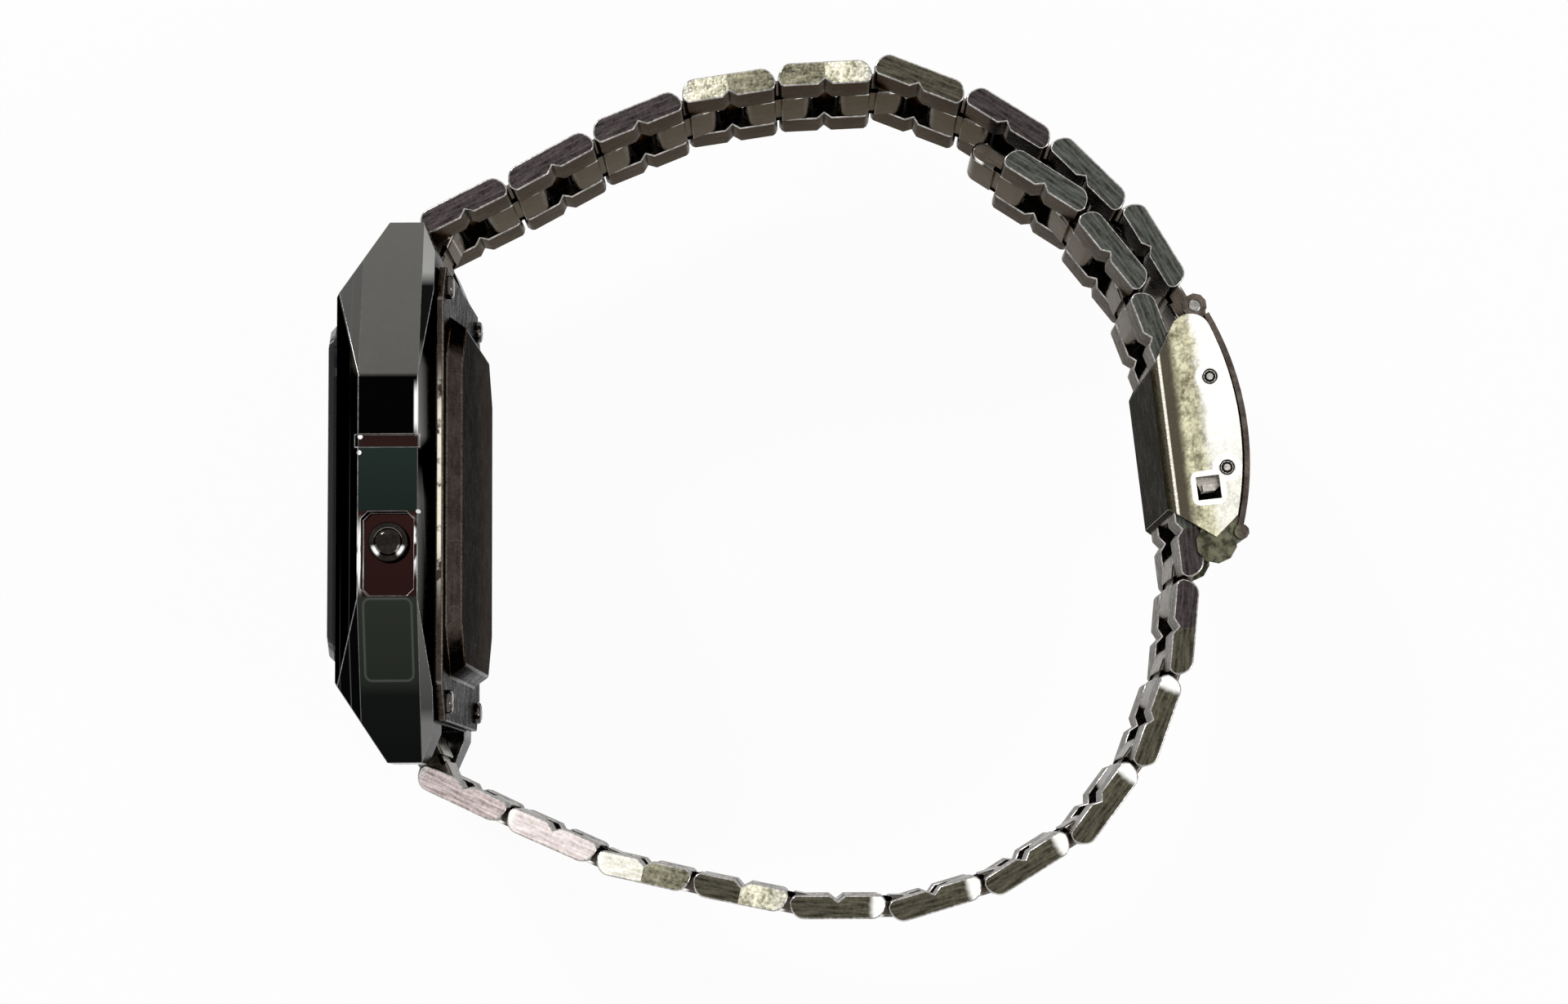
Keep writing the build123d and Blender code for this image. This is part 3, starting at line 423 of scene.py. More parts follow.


# painted highlights on the case's bevelled edges beside the pocket and along the flat, on the near side
rimMarks = dict(nearFrom=15.5, pocket=(-4.75, 3.4), edgeX=1.55, breaks=(500.0, 0.35, 0.55),
                flat=(5.6, 2.6), flatX=1.9, colour=(0.98, 0.97, 0.95))


def rimPaintedGlints(place, colour):
    x, y, z = splitAxes(place)
    edges = above(away(x), rimMarks["edgeX"])
    breaks = brokenShare(place, *rimMarks["breaks"])
    pocket = times(bandShare(y, *rimMarks["pocket"]), edges, breaks)
    flat = times(bandShare(y, *rimMarks["flat"]), above(x, rimMarks["flatX"]))
    near = above(z, case["mid"] + rimMarks["nearFrom"])
    return mixNode(times(highest(pocket, flat), near), colour, rimMarks["colour"])


# painted highlights on the pusher heads, a grey arc and a white glint: bands by distance from the pusher's
# middle and by turn in radians
pusherMarks = dict(arc=(0.95, 0.1), arcTurn=(0.2, 0.45), arcHighlight=(0.3, 0.285, 0.27),
                   glint=((1.05, 0.24), (-0.6, 0.45)))


def pusherPaintedHighlights(place, colour):
    x, y, z = splitAxes(place)
    reach = hypotNode(x, y)
    turn = mathNode("ARCTAN2", y, away(x))
    arc = times(bandShare(reach, *pusherMarks["arc"]), rangeNode(turn, *pusherMarks["arcTurn"]))
    colour = mixNode(arc, colour, pusherMarks["arcHighlight"])
    return mixNode(patchShare(reach, turn, *pusherMarks["glint"]), colour, paintedGlare)


crystalMarks = dict(border=0.5, colour=(0.004, 0.004, 0.005))


def crystalTone(place, colour):
    x, y, z = splitAxes(place)
    side = minus(away(z, case["mid"]), case["crystalHalfWidth"] - crystalMarks["border"])
    end = minus(away(y), case["crystalHalfLength"] - crystalMarks["border"])
    return mixNode(above(highest(side, end), 0.0), colour, crystalMarks["colour"])


# the back's raised pad is dull and darker to 3 o'clock; a pale broken line runs along the side there
backMarks = dict(padX=(4.65, 4.72), padMetal=0.15, padZ=(6.0, 26.0), padFar=(0.05, 0.037, 0.028),
                 padNear=(0.012, 0.0095, 0.0078), lineX=(3.35, 0.2), lineY=(1.5, 9.5), lineFrom=33.2,
                 waves=(400.0, 2.0), breaks=(700.0, 0.38, 0.5, 3.0, 0.6), lineColour=(0.9, 0.86, 0.7))


def padMatte(place):
    x, y, z = splitAxes(place)
    return rangeNode(x, *backMarks["padX"], 1.0, backMarks["padMetal"])


def backTone(place, colour):
    x, y, z = splitAxes(place)
    marks = backMarks
    pad = mixNode(rangeNode(z, *marks["padZ"]), marks["padFar"], marks["padNear"])
    colour = mixNode(above(x, marks["padX"][1]), colour, pad)
    line = patchShare(x, wavy(y, place, *marks["waves"]), marks["lineX"], marks["lineY"])
    line = times(line, above(z, marks["lineFrom"]), brokenShare(place, *marks["breaks"]))
    return mixNode(line, colour, marks["lineColour"])


# painted glints on the centre pieces: bright lines along both barrel ends and bright patches on the rims of
# the outer faces
centreMarks = dict(ends=[(2.86, 0.1), (7.82, 0.1)], breaks=(260.0, 0.45, 0.55),
                   rims=[(4.6, 0.7), (7.0, 0.5)], rimDepth=0.3)


def centrePaintedGlints(place, colour):
    x, y, z = splitAxes(place)
    ends = highest(*[bandShare(x, *band) for band in centreMarks["ends"]])
    return mixNode(times(ends, brokenShare(place, *centreMarks["breaks"])), colour, paintedSheen)


def centreRimPaintedGlints(place, colour):
    x, y, z = splitAxes(place)
    spots = highest(*[bandShare(x, *band) for band in centreMarks["rims"]])
    near = above(away(z), strap["centre"] / 2 - centreMarks["rimDepth"])
    return mixNode(times(spots, near), colour, paintedSheen)


# marks in the clasp's own axes, u along it and v out of it; spans fade from one value to the next
claspMarks = dict(
    outer=28.0, inner=8.3, pins=[(14.3, 2.9), (7.6, 3.3)],
    # the ring is painted shade round each pin head and the collar a painted highlight
    ringIn=(0.2, 0.27), ringOut=(0.6, 0.52), ringShade=(0.012, 0.010, 0.009),
    collar=(0.55, 0.61), collarHighlight=(0.9, 0.88, 0.83),
    # the bright, halo, window and edge colours are painted highlights, the bend's is painted shade
    bright=(2.0, 3.0), brightU=(7.0, 12.0), brightShare=(0.65, 0.35), brightHighlight=(0.97, 0.96, 0.9),
    waves=(700.0, 0.9, 3.0, 0.6), halo=(1.15, 0.9), haloHighlight=(0.98, 0.97, 0.93),
    window=dict(centre=(6.3, 1.8), half=(0.95, 0.95), corner=0.3), windowRim=(0.36, 0.24),
    windowHighlight=(0.95, 0.93, 0.88), bend=(0.75, 0.05), bendShade=(0.075, 0.066, 0.045),
    edge=(-0.62, 0.14), edgeHighlight=(0.75, 0.72, 0.62),
    earU=(3.9, 3.5), earV=(3.7, 3.4), earGrain=(1500.0, 0.35, 0.65, 3.0, 0.6),
    earDark=(0.04, 0.04, 0.026), earLight=(0.17, 0.165, 0.11))


def claspAxes(place):
    corner = Vector((claspStart.x, claspStart.y, case["mid"])) * mm
    tree = place.id_data
    turn = tree.nodes.new("ShaderNodeVectorRotate")
    turn.rotation_type = "Z_AXIS"
    tree.links.new(vectorNode("SUBTRACT", place, corner), turn.inputs["Vector"])
    turn.inputs["Angle"].default_value = radians(-claspAngle)
    u, across, z = splitAxes(turn.outputs[0])
    return u, times(across, -1.0)


# painted shade in a ring round each pin head and a painted highlight on its collar
def rivetPaintedLight(place, colour):
    u, v = claspAxes(place)
    marks = claspMarks
    reach = mathNode("MINIMUM", *[spotDistance(u, v, pin) for pin in marks["pins"]])
    ring = times(rangeNode(reach, *marks["ringIn"]), rangeNode(reach, *marks["ringOut"]))
    colour = mixNode(ring, colour, marks["ringShade"])
    return mixNode(rangeNode(reach, *marks["collar"]), colour, marks["collarHighlight"])


# painted light on the cheeks: a bright band along the outer side, highlights round the pins and the window,
# painted shade on the bend and a highlight along the web's edge
def cheekPaintedLight(place, colour):
    u, v = claspAxes(place)
    marks = claspMarks
    least, more = marks["brightShare"]
    outer = rangeNode(wavy(v, place, *marks["waves"]), *marks["bright"])
    upper = plus(times(rangeNode(u, *marks["brightU"]), more), least)
    colour = mixNode(times(outer, upper), colour, marks["brightHighlight"])
    for pin in marks["pins"]:
        halo = rangeNode(spotDistance(u, v, pin), *marks["halo"])
        colour = mixNode(halo, colour, marks["haloHighlight"])
    window = rangeNode(boxDistance(u, v, marks["window"]), *marks["windowRim"])
    colour = mixNode(window, colour, marks["windowHighlight"])
    colour = mixNode(rangeNode(v, *marks["bend"]), colour, marks["bendShade"])
    return mixNode(bandShare(v, *marks["edge"]), colour, marks["edgeHighlight"])


def coverTone(place, colour):
    u, v = claspAxes(place)
    marks = claspMarks
    ear = times(rangeNode(u, *marks["earU"]), rangeNode(v, *marks["earV"]))
    grain = mixNode(brokenShare(place, *marks["earGrain"]), marks["earDark"], marks["earLight"])
    return mixNode(ear, colour, grain)


wingMarks = dict(first=(-0.4, -1.1), last=(4.3, 4.9), waves=(900.0, 0.8))


def wingEndHighlights(first=0.0, last=0.0):  # how far the painted highlight at each end of a wing whitens it
    def endHighlight(place, colour):
        x, y, z = splitAxes(place)
        wave = wavy(x, place, *wingMarks["waves"])
        share = plus(times(rangeNode(wave, *wingMarks["first"]), first),
                     times(rangeNode(wave, *wingMarks["last"]), last), clamp=True)
        return mixNode(share, colour, paintedSheen)
    return endHighlight


along = (500.0, 7000.0, 500.0)
wing = dict(grain=along, streaks=0.65, mottle=0.35, smooth=0.3, rough=0.5, bump=0.35)
rim = dict(streaks=0.2, mottle=0.8, smooth=0.08, rough=0.16, bump=0.02)
steelLooks = dict(
    caseSteel=dict(dark=(0.10, 0.098, 0.094), light=(0.19, 0.187, 0.18), streaks=0.7, mottle=0.2, smooth=0.07,
                   rough=0.14, grain=(900.0, 500.0, 9000.0), bump=0.03, wear=0.02, tint=0.05, tone=casePaintedLight),
    caseRim=dict(rim, dark=(0.10, 0.10, 0.098), light=(0.30, 0.30, 0.29), tint=0.3, tone=rimPaintedGlints),
    backSteel=dict(dark=(0.022, 0.017, 0.014), light=(0.06, 0.048, 0.04), smooth=0.16,
                   grain=(900.0, 500.0, 5000.0), tint=0.0, matte=padMatte, tone=backTone),
    backRim=dict(dark=(0.07, 0.055, 0.045), light=(0.2, 0.165, 0.14), smooth=0.12, rough=0.22, tint=0.2),
    # the wing looks are lit and shaded copies of one brushed steel: their colours are painted light and shade
    wingShadedDark=dict(wing, dark=(0.017, 0.0135, 0.014), light=(0.085, 0.07, 0.07), smooth=0.28, rough=0.45,
                  tint=0.15),
    wingShadedGreen=dict(wing, dark=(0.022, 0.024, 0.021), light=(0.125, 0.13, 0.115), streaks=0.75, mottle=0.25,
                   smooth=0.26, rough=0.42, tint=0.15),
    wingLitCream=dict(wing, dark=(0.13, 0.12, 0.07), light=(0.95, 0.92, 0.72), grain=(900.0, 2500.0, 900.0),
                   streaks=0.35, mottle=0.75, bump=0.5, tone=wingEndHighlights(0.3, 0.2)),
    wingLitOlive=dict(wing, dark=(0.035, 0.032, 0.02), light=(0.42, 0.40, 0.28), grain=(700.0, 3500.0, 700.0),
                   streaks=0.4, mottle=0.5, bump=0.45),
    wingShadedLitEnd=dict(wing, dark=(0.022, 0.02, 0.014), light=(0.14, 0.13, 0.09), streaks=0.6, bump=0.4,
                   tint=0.15, tone=wingEndHighlights(last=1.0)),
    wingShadedDusk=dict(wing, dark=(0.022, 0.02, 0.014), light=(0.12, 0.11, 0.08), mottle=0.3, bump=0.4),
    wingLitPink=dict(wing, dark=(0.25, 0.205, 0.195), light=(0.82, 0.70, 0.68), streaks=0.7, mottle=0.4,
                  rough=0.45, tone=wingEndHighlights(first=0.4)),
    wingLitPale=dict(wing, dark=(0.55, 0.47, 0.45), light=(0.95, 0.86, 0.84), streaks=0.7, mottle=0.4,
                  rough=0.45, bump=0.3, tone=wingEndHighlights(first=1.0)),
    wingLitWhite=dict(wing, dark=(0.62, 0.60, 0.48), light=(1.0, 0.98, 0.9), streaks=0.6, mottle=0.6, rough=0.45,
                   bump=0.3, tone=wingEndHighlights(first=1.0)),
    wingEdge=dict(dark=(0.03, 0.024, 0.019), light=(0.085, 0.068, 0.056), streaks=0.3, mottle=0.6,
                  smooth=0.13, rough=0.26, bump=0.08, tint=(0.3, 0.278, 0.252)),
    wingRim=dict(rim, dark=(0.22, 0.205, 0.195), light=(0.72, 0.69, 0.66), smooth=0.1, rough=0.2, bump=0.03),
    centre=dict(dark=(0.05, 0.041, 0.032), light=(0.13, 0.11, 0.088), streaks=0.3, smooth=0.1, rough=0.2,
                bump=0.05, tint=(0.34, 0.316, 0.285), tone=centrePaintedGlints),
    centreRim=dict(rim, dark=(0.06, 0.053, 0.045), light=(0.22, 0.2, 0.18), mottle=0.7, bump=0.03, tint=0.2,
                   tone=centreRimPaintedGlints),
    # painted shade on the wing faces that lie beside the centre pieces
    notchPaintedShade=dict(dark=(0.004, 0.0035, 0.003), light=(0.02, 0.018, 0.015), streaks=0.3, mottle=0.6,
                   tint=0.1),
    # the slider's mottled cream is a painted sheen of strong light on its satin surface
    claspSteel=dict(dark=(0.16, 0.145, 0.085), light=(0.70, 0.67, 0.47), streaks=0.35, mottle=0.7,
                    grain=(2500.0, 700.0, 900.0), smooth=0.3, rough=0.5, bump=0.5, tint=0.1, tone=cheekPaintedLight),
    claspRim=dict(dark=(0.35, 0.32, 0.26), light=(0.85, 0.82, 0.72), smooth=0.14, rough=0.28),
    coverSteel=dict(dark=(0.045, 0.034, 0.029), light=(0.17, 0.14, 0.12), streaks=0.7, mottle=0.3,
                    grain=(700.0, 700.0, 7000.0), smooth=0.16, bump=0.2, tint=0.2, tone=coverTone),
    flapSteel=dict(dark=(0.3, 0.27, 0.24), light=(0.7, 0.66, 0.6), smooth=0.2, rough=0.4),
    pusherSteel=dict(rim, dark=(0.012, 0.01, 0.009), light=(0.035, 0.03, 0.027), mottle=0.6, smooth=0.06,
                     rough=0.14, tint=0.1, tone=pusherPaintedHighlights),
    polished=dict(rim, dark=(0.05, 0.046, 0.042), light=(0.11, 0.10, 0.095), mottle=0.6, smooth=0.04,
                  rough=0.1),
    pinSteel=dict(dark=(0.2, 0.19, 0.175), light=(0.5, 0.48, 0.45)),
    springSteel=dict(dark=(0.35, 0.34, 0.33), light=(0.6, 0.59, 0.57)),
    rivet=dict(dark=(0.3, 0.28, 0.25), light=(0.75, 0.72, 0.68), smooth=0.2, rough=0.35, tint=0.2,
               tone=rivetPaintedLight),
    brass=dict(dark=(0.5, 0.36, 0.14), light=(0.75, 0.58, 0.28)),
)
looks = {name: steel(name, values) for name, values in steelLooks.items()}
print("steel materials done", len(looks))


# other materials: dark and light stand for the two colours of a fine grain
plainDefaults = dict(scale=900.0, bump=0.1, depth=0.00003, metallic=0.0, coat=0.0, ior=1.5, transmission=0.0,
                     tone=None)


def plainMaterial(name, given):
    values = {**plainDefaults, **given}
    material, tree, shader, place = newMaterial(name)
    grain = noiseNode(place, values["scale"], 4.0, 0.6)
    colour = mixNode(rangeNode(grain, 0.35, 0.65), values["dark"], values["light"])
    if values["tone"]:
        colour = values["tone"](place, colour)
    tree.links.new(colour, shader.inputs["Base Color"])
    rough = rangeNode(grain, 0.3, 0.7, values["smooth"], values["rough"])
    tree.links.new(rough, shader.inputs["Roughness"])
    for label, key in (("Metallic", "metallic"), ("Coat Weight", "coat"), ("IOR", "ior"),
                       ("Transmission Weight", "transmission")):
        shader.inputs[label].default_value = values[key]
    addBump(tree, shader, noiseNode(place, 5 * values["scale"]), values["bump"], values["depth"])
    return material


plainLooks = dict(
    glass=dict(dark=(0.93, 0.96, 0.96), light=(0.98, 1.0, 1.0), smooth=0.0, rough=0.02, transmission=1.0,
               bump=0.0, ior=1.25, tone=crystalTone),
    dialPrint=dict(dark=(0.010, 0.010, 0.012), light=(0.020, 0.020, 0.024), smooth=0.2, rough=0.35, ior=1.25,
                   bump=0.01),
    dialLine=dict(dark=(0.45, 0.45, 0.44), light=(0.6, 0.6, 0.58), smooth=0.3, rough=0.4),
    lcdGlass=dict(dark=(0.26, 0.30, 0.23), light=(0.31, 0.35, 0.27), smooth=0.25, rough=0.4, coat=0.4),
    lcdInk=dict(dark=(0.012, 0.014, 0.013), light=(0.025, 0.027, 0.025), smooth=0.4, rough=0.5),
    siliconeStrip=dict(dark=(0.5, 0.25, 0.25), light=(0.7, 0.42, 0.4), smooth=0.4, rough=0.6),
    modulePlastic=dict(dark=(0.011, 0.011, 0.012), light=(0.022, 0.022, 0.023), smooth=0.4, rough=0.6,
                       bump=0.3),
    laminate=dict(dark=(0.008, 0.06, 0.02), light=(0.015, 0.11, 0.04), smooth=0.2, rough=0.35, coat=0.3),
    rubber=dict(dark=(0.006, 0.006, 0.006), light=(0.014, 0.014, 0.014), smooth=0.5, rough=0.7, bump=0.3),
)
looks.update({name: plainMaterial(name, values) for name, values in plainLooks.items()})
print("other materials done", len(plainLooks))


# mesh helpers
def offsetOutline(points, amount):
    moved = []
    count = len(points)
    least = 0.35  # keeps sharp corners from running off
    for index, (x, y) in enumerate(points):
        before = points[index - 1]
        after = points[(index + 1) % count]
        first = Vector((y - before[1], before[0] - x)).normalized()
        second = Vector((after[1] - y, x - after[0])).normalized()
        share = amount / max(least, 1 + first.dot(second))
        moved.append((x - (first.x + second.x) * share, y - (first.y + second.y) * share))
    return moved


def counterClockwise(points):
    area = sum(points[i - 1][0] * points[i][1] - points[i][0] * points[i - 1][1] for i in range(len(points)))
    return list(points) if area > 0 else list(reversed(points))


def joinRings(bm, lower, upper, material=0, smooth=True):
    count = len(lower)
    for i in range(count):
        j = (i + 1) % count
        face = bm.faces.new((lower[i], lower[j], upper[j], upper[i]))
        face.smooth = smooth
        face.material_index = material


# materials: side, rim and caps; inner tells which cap lies beside the centre piece and gets painted shade
def addPrism(bm, points, low, high, rim, materials, steps=3, inner=None, innerIndex=0, split=None):
    outline = counterClockwise(points)
    turns = [radians(90 * k / steps) for k in range(steps, -1, -1)]
    rings = [(rim * (1 - cos(turn)), low + rim * (1 - sin(turn))) for turn in turns]
    rings += [(rim * (1 - cos(turn)), high - rim * (1 - sin(turn))) for turn in reversed(turns)]
    loops = []
    for inset, z in rings:
        loops.append([bm.verts.new((x * mm, y * mm, z * mm)) for x, y in offsetOutline(outline, inset)])
    count = len(outline)
    for level, (lower, upper) in enumerate(zip(loops, loops[1:])):
        joinRings(bm, lower, upper, materials[0] if level == steps else materials[1])
    for loop, flip in ((loops[0], True), (loops[-1], False)):
        parts = [loop]
        if split:
            cuts = sorted(min(range(count), key=lambda i: hypot(outline[i][0] - px, outline[i][1] - py))
                          for px, py in split)
            parts = [loop[cuts[0]:cuts[1] + 1], loop[cuts[1]:] + loop[:cuts[0] + 1]]
            parts.sort(key=lambda part: sum(v.co.x for v in part) / len(part))
        for part, index in zip(parts, materials[2:]):
            face = bm.faces.new(reversed(part) if flip else part)
            face.smooth = True
            face.material_index = innerIndex if inner is flip else index


def addLathe(bm, profile, sides, place, turn=None, material=0):
    turn = turn or Matrix.Identity(3)
    loops = []
    for radius, height in profile:
        steps = [2 * pi * k / sides for k in range(sides)] if radius > 0 else [0.0]
        loops.append([bm.verts.new(place + turn @ Vector((radius * cos(t), radius * sin(t), height)) * mm)
                      for t in steps])
    for lower, upper in zip(loops, loops[1:]):
        for k in range(sides):
            j = (k + 1) % sides
            ring = [(lower, k), (lower, j), (upper, j), (upper, k)]
            corners = list(dict.fromkeys(loop[step % len(loop)] for loop, step in ring))
            if len(corners) > 2:
                face = bm.faces.new(corners)
                face.smooth = True
                face.material_index = material


def finishPiece(bm, name, materials, sharp=38):
    bmesh.ops.recalc_face_normals(bm, faces=bm.faces)
    mesh = bpy.data.meshes.new(name)
    bm.to_mesh(mesh)
    bm.free()
    for material in materials:
        mesh.materials.append(looks[material])
    mesh.set_sharp_from_angle(angle=radians(sharp))
    piece = bpy.data.objects.new(name, mesh)
    scene.collection.objects.link(piece)
    weighted = piece.modifiers.new("weightedNormals", "WEIGHTED_NORMAL")
    weighted.keep_sharp = True
    weighted.weight = 60
    return piece


def arcPoints(centreX, centreY, reachX, reachY, steps=8):
    turns = [radians(90 * k / steps) for k in range(steps + 1)]
    return [(centreX + reachX * cos(t), centreY + reachY * sin(t)) for t in turns]


# strap links
quarter = strap["pitch"] / 4
halfLink = strap["thickness"] / 2
barrel = halfLink - strap["fit"]
wingInner = strap["centre"] / 2 + strap["play"]
linkRims = dict(wing=0.1, centre=0.2, seam=0.09, bridge=0.03)
linkMaterials = ["wingEdge", "wingRim", "", "", "centre", "centreRim", "pinSteel", "notchPaintedShade"]
wingCut = dict(across=0.45, down=0.86)  # where a wing's cut corners bend, as shares


def wingOutline(outward):
    first = -quarter + strap["gap"] / 2
    last = 3 * quarter - strap["gap"] / 2
    low = -outward * halfLink
    high = outward * halfLink
    rise = high - low / 2
    bendX, bendY = strap["cut"] * wingCut["across"], low * wingCut["down"]
    firstCorner = arcPoints(first + strap["round"], low / 2, -strap["round"], rise)
    lastCorner = arcPoints(last - strap["round"], low / 2, strap["round"], rise)
    return [(quarter, high)] + list(reversed(firstCorner)) + [
        (first + bendX, bendY), (first + strap["cut"], low), (quarter - strap["notchHalf"], low),
        (quarter, low + outward * strap["notch"]), (quarter + strap["notchHalf"], low),
        (last - strap["cut"], low), (last - bendX, bendY)] + lastCorner


def centreOutline(outward):
    span = strap["pitch"] / 2
    outer = outward * barrel
    half = strap["seamHalf"]
    curl = linkRims["seam"]
    deep = outward * strap["seam"] - outer
    turns = [radians(90 - 15 * k) for k in range(13)]
    end = [(span + barrel * cos(t), outer * sin(t)) for t in turns]
    start = [(-barrel * cos(t), -outer * sin(t)) for t in turns]
    lip = [(half + curl, -outer), (half + curl * 0.3, -outer + outward * curl * 0.3),
           (half, -outer + outward * curl), (half, deep)]
    seam = [(span / 2 + x, y) for x, y in lip] + [(span / 2 - x, y) for x, y in reversed(lip)]
    return end + seam + start


def addCentre(bm, start, outward, materials):
    points = [(start + x, y) for x, y in centreOutline(outward)]
    half = strap["centre"] / 2
    addPrism(bm, points, -half, half, linkRims["centre"], materials)


def addRod(bm, x, radius, low, high, material):
    profile = [(0, low), (radius, low), (radius, high), (0, high)]
    addLathe(bm, profile, 20, Vector((x * mm, 0, 0)), material=material)


def placePiece(piece, node, body, pin, angle):
    piece.matrix_world = Matrix.Translation(pin * mm) @ Matrix.Rotation(radians(angle), 4, "Z")
    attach(piece, body)
    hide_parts(node)


def makeLink(name, node, body, pin, angle, outward, litShades, hinged=True):
    bm = bmesh.new()
    outline = wingOutline(outward)
    halves = ((quarter, outward * (strap["notch"] - halfLink)), (quarter, outward * halfLink))
    for low, high in ((-strap["width"] / 2, -wingInner), (wingInner, strap["width"] / 2)):
        addPrism(bm, outline, low, high, linkRims["wing"], (0, 1, 2, 3), inner=low > 0,
                 innerIndex=linkMaterials.index("notchPaintedShade"), split=halves)
    span = strap["pitch"] / 2
    pinIndex = linkMaterials.index("pinSteel")
    addCentre(bm, span, outward, (4, 5, 4))
    if hinged:
        addRod(bm, 0, strap["pin"], -wingInner, wingInner, pinIndex)
    addRod(bm, span, strap["pin"], -wingInner, wingInner, pinIndex)
    reach = quarter - barrel - strap["play"]
    far = outward * (halfLink - strap["fit"])
    near = far - outward * strap["bridge"]
    box = [(quarter - reach, near), (quarter + reach, near), (quarter + reach, far), (quarter - reach, far)]
    addPrism(bm, box, -wingInner, wingInner, linkRims["bridge"], (0, 0, 0), steps=1)
    piece = finishPiece(bm, name, linkMaterials[:2] + list(litShades) + linkMaterials[4:])
    placePiece(piece, node, body, pin, angle)


# painted light and shade of each link's two halves, lit and shaded copies of one brushed steel, from the case
# on
upperLitShades = [("wingShadedDark", "wingShadedDark")] * 3 + [
    ("wingLitCream", "wingLitOlive"), ("wingLitOlive", "wingLitCream"), ("wingShadedDusk", "wingShadedDusk"),
    ("wingShadedDark", "wingShadedDark")] + [("wingShadedGreen", "wingShadedGreen")] * 2
lowerLitShades = [("wingLitPink", "wingLitPink"), ("wingLitPale", "wingLitPale"), ("wingLitWhite", "wingLitOlive"),
                 ("wingShadedDusk", "wingLitCream")] + [("wingShadedDusk", "wingShadedLitEnd")] * 5 + [
                 ("wingShadedDusk", "wingShadedDark"), ("wingShadedDark", "wingShadedGreen"), ("wingShadedGreen", "wingLitPink")] + [
                 ("wingShadedGreen", "wingShadedGreen")] * 3


def makeStrap():
    for number, angle in enumerate(strap["topAngles"]):
        makeLink(f"topLink{number + 1}", f"top_link_{number + 1}", f"upper_{number + 1}", topPins[number],
                 angle, 1, upperLitShades[number], number > 0)
    for number, angle in enumerate(strap["bottomAngles"]):
        label = number + 1
        body = f"lower_{label}" if label < 11 else "clasp" if label < 13 else f"tail_{label - 12}"
        makeLink(f"bottomLink{label}", f"bottom_link_{label}", body, bottomPins[number], angle, -1,
                 lowerLitShades[number])
    for name, node, body, bar, angle, outward in (
            ("topEnd", "top_end_link", "upper_end", topBar, strap["topEnd"], 1),
            ("bottomEnd", "bottom_end_link", "lower_1", bottomBar, strap["bottomEnd"], -1)):
        bm = bmesh.new()
        addCentre(bm, 0, outward, (0, 1, 0))
        placePiece(finishPiece(bm, name, ["centre", "centreRim"]), node, body, bar, angle)


makeStrap()
print("strap done")


# pushers and screws: radius and height of each turned profile
pusherShape = [(0, -0.35), (0.35, -0.345), (0.62, -0.31), (0.82, -0.24), (0.93, -0.15), (0.97, -0.05),
               (1.0, 0.0), (1.22, 0.0), (1.36, 0.02), (1.41, 0.07), (1.42, 0.12), (1.42, 0.24), (1.38, 0.29),
               (1.3, 0.3), (0.5, 0.3), (0.5, 4.05), (0, 4.1)]
pusherSink = 0.4  # from the case's side face to the level 0 of the profile


def makePushers():
    for name, (base, inward, y) in case["pushers"].items():
        bm = bmesh.new()
        turn = Matrix.Identity(3) if inward > 0 else Matrix.Rotation(pi, 3, "X")
        addLathe(bm, pusherShape, 48, Vector((0, 0, 0)), turn)
        piece = finishPiece(bm, f"pusherHead{name.title().replace('_', '')}", ["pusherSteel"], 30)
        piece.location = Vector((0, y, base + inward * pusherSink)) * mm
        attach(piece, f"pusher_{name}")
        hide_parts(f"pusher_{name}")


screwShape = [(0, 0.45), (0.2, 0.45), (0.55, 0.43), (0.74, 0.37), (0.83, 0.26), (0.85, 0.14), (0.85, 0.0),
              (0.45, 0.0), (0.45, -1.9), (0, -1.9)]
screwSlot = dict(size=(0.3, 2.2, 0.22), lift=0.42, turn=25, turnByY=9, turnByZ=4)  # no two slots alike


def makeScrews():
    bm = bmesh.new()
    slots = bmesh.new()
    for y in (-case["screwY"], case["screwY"]):
        for z in (-case["screwZ"], case["screwZ"]):
            place = Vector((case["plateBack"], y, case["mid"] + z)) * mm
            addLathe(bm, screwShape, 32, place, Matrix.Rotation(pi / 2, 3, "Y"))
            angle = screwSlot["turn"] + screwSlot["turnByY"] * y + screwSlot["turnByZ"] * z
            lift = Matrix.Translation(place + Vector((screwSlot["lift"], 0, 0)) * mm)
            size = Matrix.Diagonal((*(Vector(screwSlot["size"]) * mm), 1))
            bmesh.ops.create_cube(slots, size=1, matrix=lift @ Matrix.Rotation(radians(angle), 4, "X") @ size)
    cutter = finishPiece(slots, "slotCutter", ["polished"])
    piece = finishPiece(bm, "backScrewHeads", ["polished"], 30)
    cut = piece.modifiers.new("slots", "BOOLEAN")
    cut.object = cutter
    cut.solver = "EXACT"
    bpy.context.view_layer.update()
    mesh = bpy.data.meshes.new_from_object(piece.evaluated_get(bpy.context.evaluated_depsgraph_get()))
    piece.modifiers.clear()
    piece.data = mesh
    bpy.data.objects.remove(cutter)
    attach(piece, "case")
    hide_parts("back_screws")


makePushers()
makeScrews()
print("pushers and screws done")


